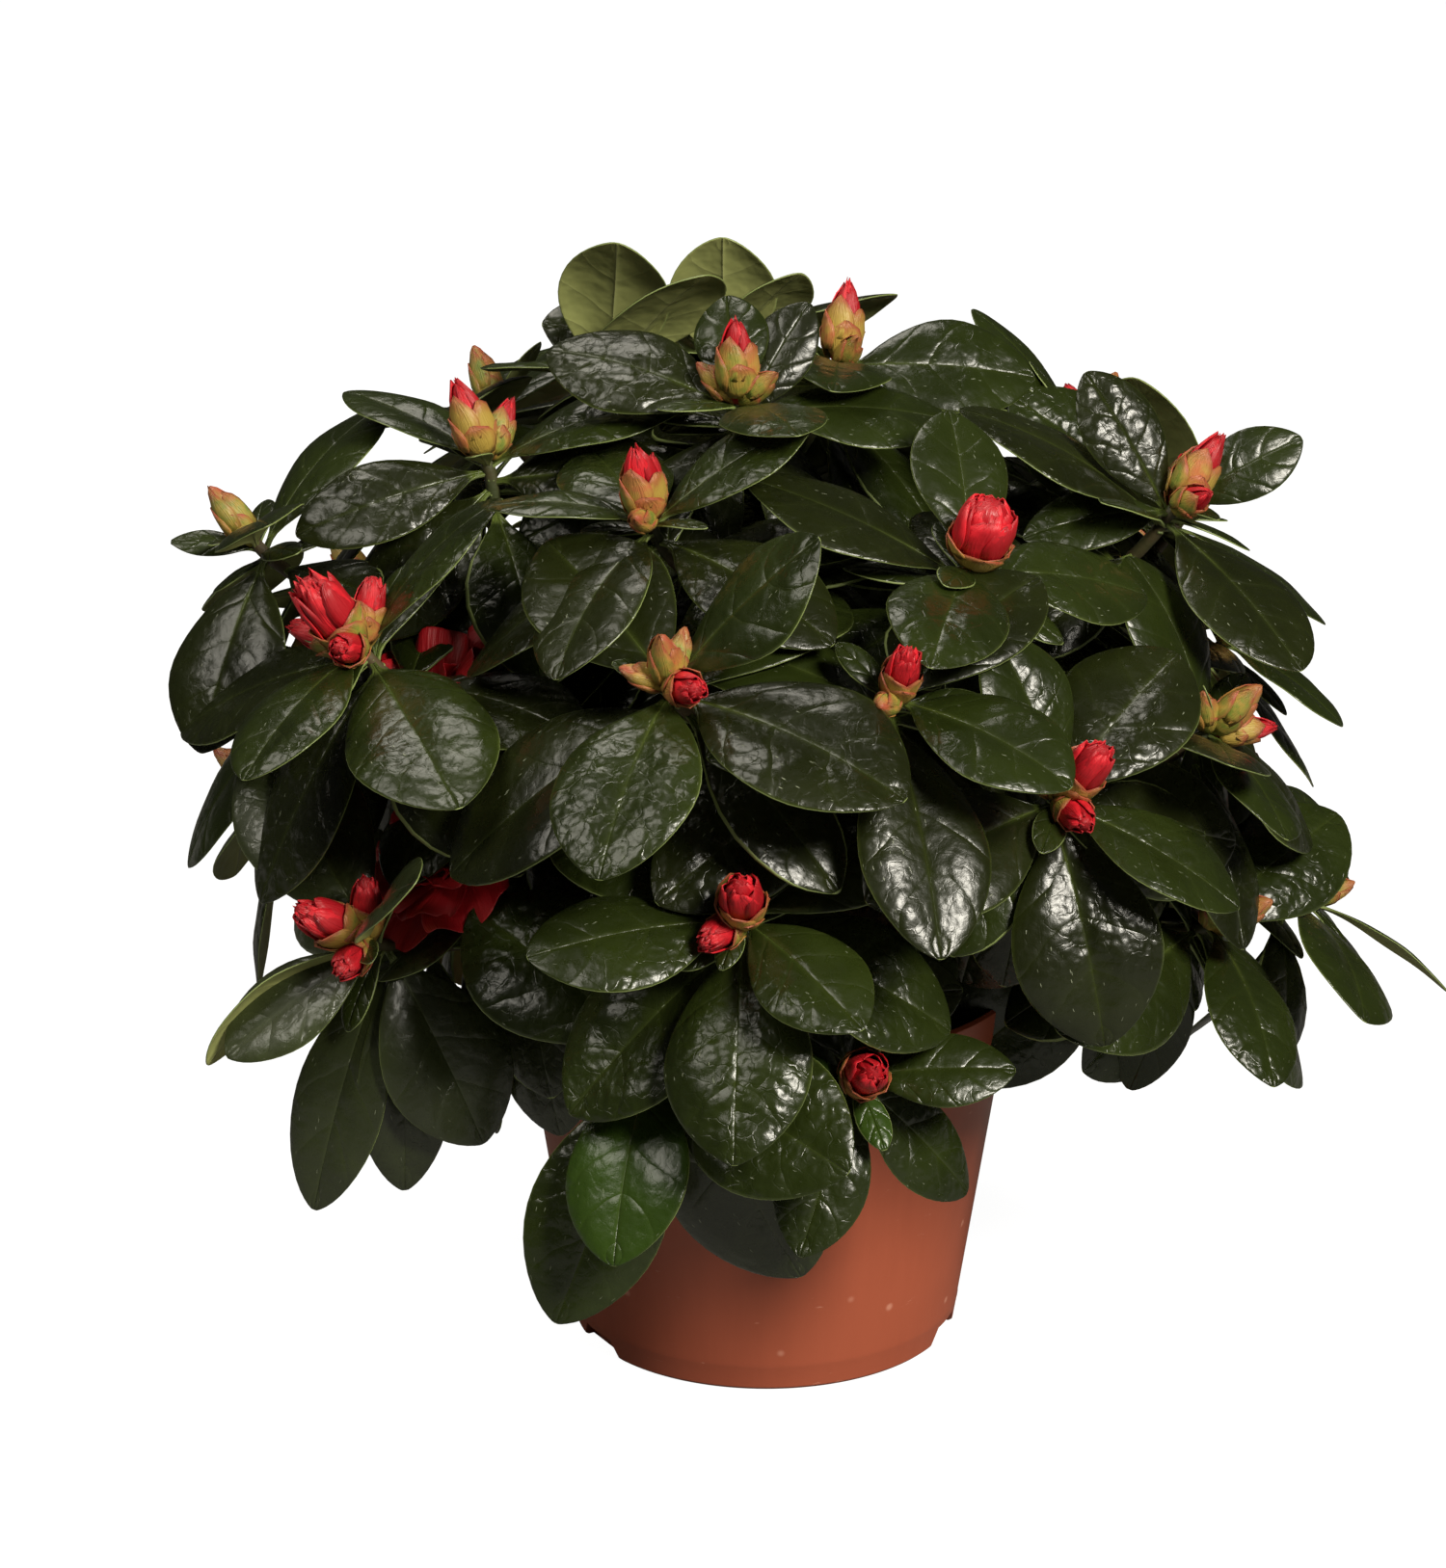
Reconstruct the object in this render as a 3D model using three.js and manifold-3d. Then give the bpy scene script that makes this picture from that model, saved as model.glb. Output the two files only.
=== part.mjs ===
// Potted azalea: a broad, glossy-leaved shrub with fat red buds, in a small plastic nursery pot.
// Millimetres, +Z up. The origin is the middle of the pot's flat underside, and -Y is the front.

import * as THREE from 'three';
import { mergeVertices } from 'three/addons/utils/BufferGeometryUtils.js';
import Module from 'manifold-3d';

const wasm = await Module();
wasm.setup();

// Driving dimensions in millimetres and degrees. Angles round the plant start at the front and
// grow towards the right.
const GAP = 0.3;
const POT = {
  rimRadius: 60, rimFoot: 59, rimBand: 11, height: 88.5, wallTopRadius: 56.9, baseRadius: 45,
  wall: 1.8, floor: 2.6, moulding: 6.5, edge: 0.8, sides: 32,
};
const DRAIN = {
  angles: [-60, 70, 185], width: 17, topWidth: 11, height: 4.5, inside: 3, reach: 12,
};
const SOIL = { top: 80, edgeDrop: 2.5, flatRadius: 18, brim: 4, brimDrop: 1.2 };
const TRUNK = {
  foot: 80.3, height: 46, lean: 4, footRadius: 11, neckRadius: 7.2, tipRadius: 5, flare: 0.25,
  sides: 10, steps: 8,
};
const BOUGH = { start: 3.1, end: 2.4, share: 0.55, forkShare: 0.62, lift: 0.5, sides: 4, steps: 3 };
const TWIG = { start: 2, end: 1.4, sides: 3, steps: 4, leaderSteps: 7, leave: 0.3, arrive: 0.35 };

// A shoot points out from the plant's heart and up, and its leaves face along it and up.
const SHOOT = { heart: 112, outward: 0.75, upward: 0.42 };

// A leaf: widths and places are shares of its length, angles are degrees.
const LEAF = {
  width: 0.58, widest: 1.15, roundness: 0.62,
  petiole: 0.1, petioleHalf: 0.8, thick: 0.016, sunk: 0.03, wide: 0.45, narrow: 0.78,
  firstShare: 0.78, growth: 0.075, firstPitch: 52, pitchStep: 7.5, lastPitch: 104,
  firstDrop: 2, dropStep: 1.2, lowerStep: 7, lowerCount: 2, spiral: 137.5,
  droop: 0.16, bend: 30, faceAxis: 0.6, faceUp: 0.4,
  sizeDraw: 0.08, pitchDraw: 6, rollDraw: 10, bendDraw: 12, widthDraw: 0.14,
};
const LEAF_ROWS = [-LEAF.sunk, LEAF.petiole, LEAF.wide, LEAF.narrow, 1];
const BUD = {
  length: 19, radius: 4.4, sideShare: 0.76, sideTilt: 50, stalk: 3, sunk: 2, sides: 4,
  rows: [0, 0.34, 0.66, 1], swell: [0, 0.85, 0.95, 0],
};
const BLOOM = { radius: 23, petals: 5, stalk: 9, width: 0.95, pitch: 62, rows: [-0.09, 0.62, 1] };

// The shoots that the front of the plant shows, mass by mass. Each ends in a rosette of leaves:
// angle round the plant, reach from its middle, height, where the leaf spiral starts as seen from
// the front, its hand, the number of rosette leaves, the longest leaf and the number of buds.
const FRONT = [
  ['upper_front', 109, [[-23, 67, 215, 270, 1, 6, 49, 3], [35, 76, 205, 5, -1, 6, 53, 1]]],
  ['front', 98, [[-12, 102, 190, 50, 1, 6, 58, 4], [15, 101, 186, 125, 1, 5, 55, 2]]],
  ['left', 99, [[-60, 104, 183, 170, -1, 6, 57, 4], [-60, 78, 157, 30, 1, 4, 48, 0, 'bloom']]],
  ['front_right', 106, [[34, 111, 162, 340, 1, 5, 52, 4], [68, 107, 160, 210, 1, 8, 50, 3]]],
  ['upper_left', 111, [[-77, 65, 216, 285, 1, 7, 53, 2], [-85, 117, 195, 90, 1, 5, 50, 1]]],
  ['upper_right', 113, [[85, 93, 203, 130, 1, 5, 55, 3], [112, 106, 186, 60, 1, 5, 50, 1]]],
  ['top', 126, [
    [-15, 26, 232, 20, 1, 6, 51, 3], [140, 26, 229, 90, 1, 6, 50, 2],
    [190, 60, 222, 10, -1, 6, 46, 2], [225, 56, 222, 350, 1, 6, 46, 1],
  ]],
  ['low_left', 88, [[-52, 113, 121, 60, 1, 7, 60, 4], [-50, 82, 127, 200, 1, 4, 46, 0, 'bloom']]],
  ['low_front', 91, [
    [-3, 112, 142, 130, 1, 7, 54, 2], [-14, 107, 107, 185, 1, 5, 60, 1],
    [10, 107, 103, 290, 1, 5, 44, 1],
  ]],
  ['low_right', 93, [
    [66, 110, 115, 210, 1, 6, 54, 2], [86, 128, 108, 335, 1, 5, 52, 1],
    [95, 102, 117, 80, 1, 4, 46, 0, 'bloom'],
  ]],
];

// The sides and back carry like shoots in rings: height, reach, first angle, step, and the masses
// that share the ring's shoots in turn, with the height at which each mass's bough leaves. The
// shoots vary by the draws below.
const RING = {
  angleDraw: 7, reachDraw: 6, heightDraw: 8, leaves: 6, longest: 49, longestDraw: 3, buds: 2,
};
const BACK = [
  {
    height: 205, reach: 90, first: 130, step: 34,
    masses: [['back_upper_right', 118, 2], ['back_upper_left', 113, 2]],
  },
  {
    height: 166, reach: 114, first: 104, step: 35,
    masses: [['back_right', 98, 2], ['back_middle', 105, 2], ['side_left', 107, 2]],
  },
  {
    height: 119, reach: 117, first: 126, step: 34,
    masses: [['back_low_right', 95, 2], ['back_low_left', 91, 2], ['side_low_left', 96, 1]],
  },
];

// Leaves that the front shows lying in their own way: mass, shoot and leaf, which way it points,
// which way its upper face looks, its length and its width as a share of that.
const SET_LEAVES = [
  ['upper_left', 0, 2, [-0.88, -0.33, -0.10], [-0.15, -0.62, 0.77], 46, 0.50],
  ['upper_left', 0, 4, [0.88, -0.40, 0.26], [-0.10, -0.60, 0.80], 42, 0.55],
  ['upper_left', 0, 5, [-0.50, -0.45, -0.38], [-0.20, -0.75, 0.60], 44, 0.55],
  ['upper_left', 1, 1, [-0.90, -0.20, 0.25], [0, -0.60, 0.80], 20, 0.40],
  ['upper_left', 1, 3, [-0.35, -0.70, -0.62], [-0.30, -0.63, 0.64], 49, 0.62],
  ['upper_right', 0, 0, [0.80, -0.05, 0.58], [-0.35, -0.80, 0.50], 33, 0.52],
  ['upper_right', 0, 1, [-0.88, -0.42, 0.20], [-0.10, -0.55, 0.83], 36, 0.50],
  ['upper_right', 0, 2, [-0.42, 0.05, 0.90], [0.22, -0.86, 0.46], 38, 0.50],
  ['upper_right', 1, 0, [-0.74, 0, 0.66], [0.10, -0.75, 0.65], 50, 0.58],
  ['top', 0, 0, [-0.10, 0.45, 0.88], [0, -0.93, 0.35], 28, 0.62],
  ['top', 0, 2, [-0.87, 0.12, 0.48], [0.20, -0.60, 0.75], 47, 0.58],
  ['top', 0, 5, [0.45, 0.15, 0.88], [-0.20, -0.90, 0.40], 32, 0.50],
  ['top', 1, 0, [0.95, -0.05, 0.10], [0, -0.60, 0.80], 46, 0.60],
  ['top', 2, 2, [-0.86, -0.30, 0.40], [0.10, -0.62, 0.78], 45, 0.60],
  ['top', 2, 4, [0, -0.18, 0.98], [0, 1.00, 0], 40, 0.66],
  ['top', 3, 4, [0.12, -0.14, 0.97], [0.10, 1.00, 0], 48, 0.56],
  ['low_left', 0, 1, [-0.94, 0.10, -0.33], [-0.10, 0.50, 0.83], 47, 0.42],
  ['low_left', 0, 3, [-0.84, -0.35, -0.40], [-0.10, -0.52, 0.81], 42, 0.50],
  ['low_left', 0, 4, [0.50, -0.43, -0.76], [0.10, -0.74, 0.62], 50, 0.60],
  ['low_left', 0, 5, [-0.36, -0.30, -0.88], [-0.35, -0.79, 0.48], 63, 0.36],
  ['low_left', 0, 6, [0.10, -0.40, -0.91], [0.20, -0.79, 0.48], 57, 0.38],
  ['low_front', 1, 3, [-0.35, -0.42, -0.84], [0.10, -0.82, 0.54], 62, 0.50],
  ['low_right', 0, 5, [-0.28, -0.20, -0.93], [0.10, -0.90, 0.30], 42, 0.42],
  ['low_right', 1, 0, [0.93, -0.25, -0.27], [0.35, 0.45, 0.82], 38, 0.34],
  ['low_right', 1, 4, [-0.39, -0.10, -0.91], [0.85, -0.20, -0.35], 48, 0.40],
];

const finish = (color, roughness) => (
  new THREE.MeshStandardMaterial({ color, roughness, metalness: 0 })
);
const plastic = finish(0x9a4f35, 0.42);
const peat = finish(0x3a2a20, 0.95);
const bark = finish(0x6b5138, 0.85);
const foliage = finish(0x2f5a27, 0.35);

const radians = THREE.MathUtils.degToRad;
const up = new THREE.Vector3(0, 0, 1);
const seenUp = new THREE.Vector3(0, 0.33, 0.95);
const vector = (x, y, z) => new THREE.Vector3(x, y, z);
const sum = (...terms) => {
  const total = vector(0, 0, 0);
  terms.forEach(([share, direction]) => total.addScaledVector(direction, share));
  return total;
};
const around = (angle, reach, height) => (
  vector(Math.sin(radians(angle)) * reach, -Math.cos(radians(angle)) * reach, height)
);

// Numbers between -1 and 1 from a whole-number rule, so that every run gives the same plant.
function seeded(seed) {
  let state = seed;
  return () => {
    state = (state * 48271) % 2147483647;
    return (2 * state) / 2147483647 - 1;
  };
}

// Solids: a geometry becomes a closed solid, and a solid a named mesh.
function solid(geometry) {
  geometry.deleteAttribute('normal');
  geometry.deleteAttribute('uv');
  const merged = mergeVertices(geometry, 1e-3);
  return new wasm.Manifold(new wasm.Mesh({
    numProp: 3,
    vertProperties: new Float32Array(merged.attributes.position.array),
    triVerts: new Uint32Array(merged.index.array),
  }));
}

function named(name, body, material) {
  const { vertProperties, triVerts } = body.getMesh();
  const geometry = new THREE.BufferGeometry();
  geometry.setAttribute('position', new THREE.BufferAttribute(vertProperties, 3));
  geometry.setIndex(new THREE.BufferAttribute(triVerts, 1));
  geometry.computeVertexNormals();
  const mesh = new THREE.Mesh(geometry, material);
  mesh.name = name;
  return mesh;
}

// The largest shell of a solid: sealed hollows are filled and loose scraps dropped.
function largest(body) {
  return body.decompose().sort((one, other) => other.volume() - one.volume())[0];
}

function fused(pieces) {
  const joined = wasm.Manifold.union(pieces).simplify(0.05);
  return largest(solid(named('joined', joined, foliage).geometry));
}

// A straight cylinder is bent along a curve, thick as radiusAt says, to make a limb.
function limb(curve, radiusAt, sides, steps) {
  const geometry = new THREE.CylinderGeometry(1, 1, 1, sides, steps);
  const places = geometry.attributes.position;
  const chord = curve.getPoint(1).sub(curve.getPoint(0)).normalize();
  const reference = Math.abs(chord.z) > 0.8 ? vector(0, 1, 0) : up;
  for (let index = 0; index < places.count; index += 1) {
    const ring = vector(0, 0, 0).fromBufferAttribute(places, index);
    const share = ring.y + 0.5;
    const along = curve.getTangent(share);
    const side = reference.clone().cross(along).normalize();
    const face = side.clone().cross(along);
    const radius = radiusAt(share);
    const place = sum([1, curve.getPoint(share)], [ring.x * radius, side], [ring.z * radius, face]);
    places.setXYZ(index, place.x, place.y, place.z);
  }
  return solid(geometry);
}

// A body with a point at each end is a sphere whose rings are moved: place says where a vertex of
// a row goes, from the way it lies on the sphere.
function pointed(sides, rowCount, place) {
  const steps = rowCount - 1;
  const geometry = new THREE.SphereGeometry(1, sides, steps);
  const places = geometry.attributes.position;
  for (let index = 0; index < places.count; index += 1) {
    const vertex = vector(0, 0, 0).fromBufferAttribute(places, index);
    const row = Math.round((Math.acos(THREE.MathUtils.clamp(vertex.y, -1, 1)) / Math.PI) * steps);
    const point = place(row, vertex.setY(0).normalize());
    places.setXYZ(index, point.x, point.y, point.z);
  }
  return solid(geometry);
}

// Pot: a thin moulded shell with a rim band, a moulding line low down and drain notches in the
// edge of its base.
function wallRadius(height) {
  const share = height / (POT.height - POT.rimBand);
  return THREE.MathUtils.lerp(POT.baseRadius, POT.wallTopRadius, share);
}

function potSolid() {
  const bandFoot = POT.height - POT.rimBand;
  const profile = [
    [0, 0], [POT.baseRadius - POT.edge, 0], [wallRadius(POT.edge), POT.edge],
    [wallRadius(POT.moulding) + POT.edge / 2, POT.moulding],
    [wallRadius(POT.moulding + POT.edge), POT.moulding + POT.edge],
    [POT.wallTopRadius, bandFoot], [POT.rimFoot, bandFoot + POT.edge],
    [POT.rimRadius, POT.height - POT.edge], [POT.rimRadius - POT.edge, POT.height],
    [POT.rimRadius - POT.wall, POT.height - POT.edge],
    [POT.rimFoot - POT.wall, bandFoot + POT.wall],
    [POT.wallTopRadius - POT.wall, bandFoot], [wallRadius(POT.floor) - POT.wall, POT.floor],
    [0, POT.floor],
  ];
  const shell = new THREE.LatheGeometry(profile.map(([x, y]) => new THREE.Vector2(x, y)), POT.sides);
  shell.rotateX(Math.PI / 2);
  return DRAIN.angles.reduce((body, angle) => body.subtract(drainNotch(angle)), solid(shell));
}

function drainNotch(angle) {
  const outline = new THREE.Shape([
    new THREE.Vector2(-DRAIN.width / 2, -1), new THREE.Vector2(DRAIN.width / 2, -1),
    new THREE.Vector2(DRAIN.width / 2, 0), new THREE.Vector2(DRAIN.topWidth / 2, DRAIN.height),
    new THREE.Vector2(-DRAIN.topWidth / 2, DRAIN.height), new THREE.Vector2(-DRAIN.width / 2, 0),
  ]);
  const notch = new THREE.ExtrudeGeometry(outline, { depth: DRAIN.reach, bevelEnabled: false });
  notch.rotateX(Math.PI / 2);
  notch.translate(0, DRAIN.inside - POT.baseRadius, 0);
  notch.rotateZ(radians(angle));
  return solid(notch);
}

// The peaty root ball fills the pot a clear gap inside its wall, flat round the trunk.
function soilSolid() {
  const inside = (height) => wallRadius(height) - POT.wall - GAP;
  const edgeHeight = SOIL.top - SOIL.brimDrop - SOIL.edgeDrop;
  const profile = [
    [0, POT.floor + GAP], [inside(POT.floor), POT.floor + GAP], [inside(edgeHeight), edgeHeight],
    [inside(edgeHeight) - SOIL.brim, SOIL.top - SOIL.brimDrop], [SOIL.flatRadius, SOIL.top],
    [0, SOIL.top],
  ];
  const ball = new THREE.LatheGeometry(profile.map(([x, y]) => new THREE.Vector2(x, y)), POT.sides);
  ball.rotateX(Math.PI / 2);
  return solid(ball);
}

// Trunk: short and woody, leaning a little to the left, with a root flare at the soil.
const trunkCurve = new THREE.QuadraticBezierCurve3(
  vector(0, 0, TRUNK.foot),
  vector(0, 0, TRUNK.foot + TRUNK.height * 0.5),
  vector(-TRUNK.lean, 0, TRUNK.foot + TRUNK.height),
);
const trunkShare = (height) => (height - TRUNK.foot) / TRUNK.height;
function trunkRadius(share) {
  const left = Math.max(0, 1 - share / TRUNK.flare);
  const flare = (TRUNK.footRadius - TRUNK.neckRadius) * left ** 2;
  return THREE.MathUtils.lerp(TRUNK.neckRadius, TRUNK.tipRadius, share) + flare;
}

// Every mass: its bough, fork and shoots. Shoot numbers seed the leaves, so their order matters.
function shootFrom([angle, reach, height, turn, hand, count, longest, buds, bloom], number) {
  const tip = around(angle, reach, height);
  const outward = tip.clone().sub(vector(0, 0, SHOOT.heart)).normalize();
  return {
    number, tip, turn, hand, count, longest, buds, bloom: bloom === 'bloom', setLeaves: {},
    axis: sum([SHOOT.outward, outward], [SHOOT.upward, up]).normalize(),
  };
}

function ringShoot(ring, place, number) {
  const next = seeded(number * 101);
  return [
    ring.first + ring.step * place + RING.angleDraw * next(),
    ring.reach + RING.reachDraw * next(), ring.height + RING.heightDraw * next(),
    180 + 180 * next(), place % 2 ? 1 : -1, RING.leaves, RING.longest + RING.longestDraw * next(),
    RING.buds + Math.round(next()),
  ];
}

function plannedMasses() {
  const masses = [];
  let number = 1;
  const add = (name, from, rows) => {
    const shoots = rows.map((row, index) => shootFrom(row, number + index));
    number += rows.length;
    SET_LEAVES.filter(([mass]) => mass === name).forEach(([, place, index, ...set]) => {
      shoots[place].setLeaves[index] = set;
    });
    masses.push({ name, from, shoots });
  };
  FRONT.forEach(([name, from, rows]) => add(name, from, rows));
  BACK.forEach((ring) => {
    let place = 0;
    ring.masses.forEach(([name, from, count]) => {
      add(name, from, Array.from({ length: count }, (_, index) => (
        ringShoot(ring, place + index, number + index)
      )));
      place += count;
    });
  });
  return masses;
}

// The bough's line runs from inside the trunk to the fork, and the mass's stem is its last stretch.
function branch(mass) {
  const start = trunkCurve.getPoint(Math.min(1, trunkShare(mass.from)));
  const middle = sum(...mass.shoots.map((shoot) => [1 / mass.shoots.length, shoot.tip]));
  const way = middle.clone().sub(start);
  const fork = start.clone().addScaledVector(way, BOUGH.forkShare);
  const leave = sum([1, way.clone().normalize()], [BOUGH.lift, up]).normalize();
  const third = start.distanceTo(fork) / 3;
  mass.line = new THREE.CubicBezierCurve3(
    start,
    start.clone().addScaledVector(leave, third),
    fork.clone().addScaledVector(way.normalize(), -third),
    fork,
  );
  mass.shoots.forEach((shoot, index) => {
    const reach = fork.distanceTo(shoot.tip);
    shoot.twig = new THREE.CubicBezierCurve3(
      fork,
      index === 0 ? fork.clone().addScaledVector(way, reach * TWIG.leave)
        : fork.clone().lerp(shoot.tip, TWIG.leave),
      shoot.tip.clone().addScaledVector(shoot.axis, -reach * TWIG.arrive),
      shoot.tip,
    );
    shoot.reach = reach;
  });
}

// Part of a curve, as a curve of its own.
class Stretch extends THREE.Curve {
  constructor(curve, from, to) {
    super();
    this.curve = curve;
    this.from = from;
    this.to = to;
  }

  getPoint(share) {
    return this.curve.getPoint(THREE.MathUtils.lerp(this.from, this.to, share));
  }

  getTangent(share) {
    return this.curve.getTangent(THREE.MathUtils.lerp(this.from, this.to, share));
  }
}

// Where leaf number `index` of a shoot grows, which way it points and faces, and how big it is.
// Leaf 0 is the innermost of the rosette, and those past the rosette sit further down the twig.
function leafPlan(shoot, index) {
  const next = seeded(shoot.number * 7919 + index * 104729);
  const lower = Math.max(0, index - shoot.count + 1);
  const drop = LEAF.firstDrop + LEAF.dropStep * (index - lower) + LEAF.lowerStep * lower;
  const share = Math.max(0.05, 1 - drop / shoot.reach);
  const size = Math.min(1, LEAF.firstShare + LEAF.growth * index) * (1 + LEAF.sizeDraw * next());
  const length = shoot.longest * size;
  const pitch = Math.min(LEAF.lastPitch, LEAF.firstPitch + LEAF.pitchStep * index);
  const plan = {
    root: shoot.twig.getPoint(share),
    axis: shoot.twig.getTangent(share),
    clock: shoot.turn + shoot.hand * LEAF.spiral * index,
    pitch: pitch + LEAF.pitchDraw * next(),
    roll: LEAF.rollDraw * next(),
    droop: LEAF.droop,
    bend: radians(LEAF.bend + LEAF.bendDraw * next()),
    length,
    half: length * LEAF.width * (1 + LEAF.widthDraw * next()) * 0.5,
  };
  if (!(index in shoot.setLeaves)) return plan;
  const [along, face, setLength, width] = shoot.setLeaves[index];
  return {
    ...plan, setWays: [along, face], roll: 0, length: setLength, half: setLength * width * 0.5,
  };
}

// The leaf's own directions: along, across and its upper face.
function leafFrame(plan, lift, swing) {
  const { axis } = plan;
  const high = seenUp.clone().addScaledVector(axis, -seenUp.dot(axis)).normalize();
  const right = high.clone().cross(axis);
  const clock = radians(plan.clock + swing);
  const pitch = radians(plan.pitch + lift);
  const outward = sum([Math.cos(clock), high], [Math.sin(clock), right]);
  const [along, face] = plan.setWays ? plan.setWays.map((way) => vector(...way)) : [
    sum([Math.cos(pitch), axis], [Math.sin(pitch), outward], [-plan.droop, up]),
    sum([LEAF.faceAxis, axis], [LEAF.faceUp, up]),
  ];
  along.normalize();
  face.addScaledVector(along, -face.dot(along)).normalize();
  const across = along.clone().cross(face);
  const roll = radians(plan.roll);
  return {
    ...plan,
    along,
    across: sum([Math.cos(roll), across], [Math.sin(roll), face]),
    face: sum([Math.cos(roll), face], [-Math.sin(roll), across]),
  };
}

function leafHalfWidth(leaf, share) {
  const blade = Math.max(0, (share - LEAF.petiole) / (1 - LEAF.petiole));
  return leaf.half * Math.max(0, Math.sin(Math.PI * blade ** LEAF.widest)) ** LEAF.roundness;
}

// A point of the leaf: share of its length, side from -1 to 1 and height over its middle surface.
function leafPoint(leaf, share, side, height) {
  const turned = leaf.bend * share;
  const radius = leaf.length / leaf.bend;
  const face = sum([Math.cos(turned), leaf.face], [Math.sin(turned), leaf.along]);
  return sum(
    [1, leaf.root], [radius * Math.sin(turned), leaf.along],
    [radius * (Math.cos(turned) - 1), leaf.face], [side, leaf.across], [height, face],
  );
}

// A leaf is a long three-sided body: its ridge is the midrib and its foot is sunk in the twig.
function leafSolid(leaf, rows = LEAF_ROWS) {
  return pointed(3, rows.length, (row, way) => {
    const share = rows[row];
    const inside = row > 0 && row < rows.length - 1;
    const half = share > LEAF.petiole ? leafHalfWidth(leaf, share) : LEAF.petioleHalf;
    const onRidge = way.x < -0.5;
    const side = inside && !onRidge ? -Math.sign(way.z) * half : 0;
    return leafPoint(leaf, share, side, inside && onRidge ? leaf.length * LEAF.thick : 0);
  });
}

// The leaf's middle surface as triangles and edges, for finding leaves that would cross.
function leafOutline(leaf) {
  const foot = leafPoint(leaf, 2 * LEAF.petiole, 0, 0);
  const tip = leafPoint(leaf, 1, 0, 0);
  const row = (share) => [-1, 0, 1].map((side) => (
    leafPoint(leaf, share, side * leafHalfWidth(leaf, share), 0)
  ));
  const [a, b, c] = row(LEAF.wide);
  const [d, e, f] = row(LEAF.narrow);
  return {
    triangles: [
      [foot, a, b], [foot, b, c], [a, d, e], [a, e, b], [b, e, f], [b, f, c], [d, tip, e],
      [e, tip, f],
    ],
    edges: [[foot, a], [a, d], [d, tip], [tip, f], [f, c], [c, foot], [b, e]],
    middle: b,
    reach: leaf.length * 0.75,
  };
}

function edgeMeets([start, end], [one, two, three]) {
  const sideOne = two.clone().sub(one);
  const sideTwo = three.clone().sub(one);
  const way = end.clone().sub(start);
  const cross = way.clone().cross(sideTwo);
  const depth = sideOne.dot(cross);
  if (Math.abs(depth) < 1e-9) return false;
  const offset = start.clone().sub(one);
  const first = offset.dot(cross) / depth;
  const turned = offset.cross(sideOne);
  const second = way.dot(turned) / depth;
  const distance = sideTwo.dot(turned) / depth;
  return first >= 0 && second >= 0 && first + second <= 1 && distance >= 0 && distance <= 1;
}

function crossings(outline, placed) {
  return placed.filter((other) => (
    outline.middle.distanceTo(other.middle) < outline.reach + other.reach
    && (outline.edges.some((edge) => other.triangles.some((face) => edgeMeets(edge, face)))
      || other.edges.some((edge) => outline.triangles.some((face) => edgeMeets(edge, face))))
  )).length;
}

// A line that leaves keep clear of: a twig or the middle of a bud.
function lineOutline(curve, steps) {
  const points = curve.getPoints(steps);
  return {
    triangles: [],
    edges: points.slice(1).map((point, index) => [points[index], point]),
    middle: curve.getPoint(0.5),
    reach: points[0].distanceTo(points[steps]) * 0.6,
  };
}

// All rosettes are placed first, then one leaf at a time further down every twig. Each leaf is
// tilted and swung a little, by the tries below, until it crosses none that is there. The try
// with the fewest crossings is kept in a rosette, and a lower leaf that crosses any is left out.
const TRIES = [[0, 0], [-11, 0], [11, 0], [-6, 16], [-6, -16], [14, 14], [14, -14], [-22, 0]];

function placeLeaf(mass, shoot, index, placed) {
  const plan = leafPlan(shoot, index);
  let best = null;
  for (const [lift, swing] of TRIES) {
    const leaf = leafFrame(plan, lift, swing);
    const outline = leafOutline(leaf);
    const count = crossings(outline, placed);
    if (best === null || count < best.count) best = { mass, leaf, outline, count };
    if (best.count === 0) break;
  }
  if (best.count > 0 && index >= shoot.count) return [];
  placed.push(best.outline);
  return [best];
}

function placeLeaves(masses) {
  const shoots = masses.flatMap((mass) => mass.shoots.map((shoot) => ({ mass, shoot })));
  const placed = shoots.flatMap(({ shoot }) => [
    lineOutline(shoot.twig, 6),
    ...(shoot.bloom ? petalFrames(shoot).map(leafOutline)
      : budLines(shoot).map(({ line }) => lineOutline(line, 1))),
  ]);
  const rosettes = shoots.flatMap(({ mass, shoot }) => (
    Array.from({ length: shoot.count }, (_, index) => placeLeaf(mass, shoot, index, placed)).flat()
  ));
  const rounds = Array.from({ length: LEAF.lowerCount }, (_, round) => (
    shoots.flatMap(({ mass, shoot }) => placeLeaf(mass, shoot, shoot.count + round, placed))
  ));
  return [...rosettes, ...rounds.flat()];
}

// Buds: fat spindles of scales at a shoot's tip, one in line and the rest leaning out round it.
function budLine(shoot, index) {
  const { axis, tip } = shoot;
  const side = seenUp.clone().cross(axis).normalize();
  const other = side.clone().cross(axis);
  const clock = radians(shoot.turn + (360 / Math.max(1, shoot.buds - 1)) * index);
  const lean = index === 0 ? 0 : radians(BUD.sideTilt);
  const share = index === 0 ? 1 : BUD.sideShare;
  const way = sum(
    [Math.cos(lean), axis], [Math.sin(lean) * Math.cos(clock), side],
    [Math.sin(lean) * Math.sin(clock), other],
  );
  const root = sum([1, tip], [-BUD.sunk, axis]);
  const end = sum([1, root], [(BUD.length + BUD.stalk) * share, way]);
  return { line: new THREE.LineCurve3(root, end), radius: BUD.radius * share };
}

const budLines = (shoot) => Array.from({ length: shoot.buds }, (_, index) => budLine(shoot, index));

function budSolid({ line, radius }) {
  const along = line.getTangent(0);
  const side = vector(0, 1, 0).cross(along).normalize();
  const face = along.clone().cross(side);
  return pointed(BUD.sides, BUD.rows.length, (row, way) => sum(
    [1, line.getPoint(BUD.rows[row])], [way.x * radius * BUD.swell[row], side],
    [way.z * radius * BUD.swell[row], face],
  ));
}

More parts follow.
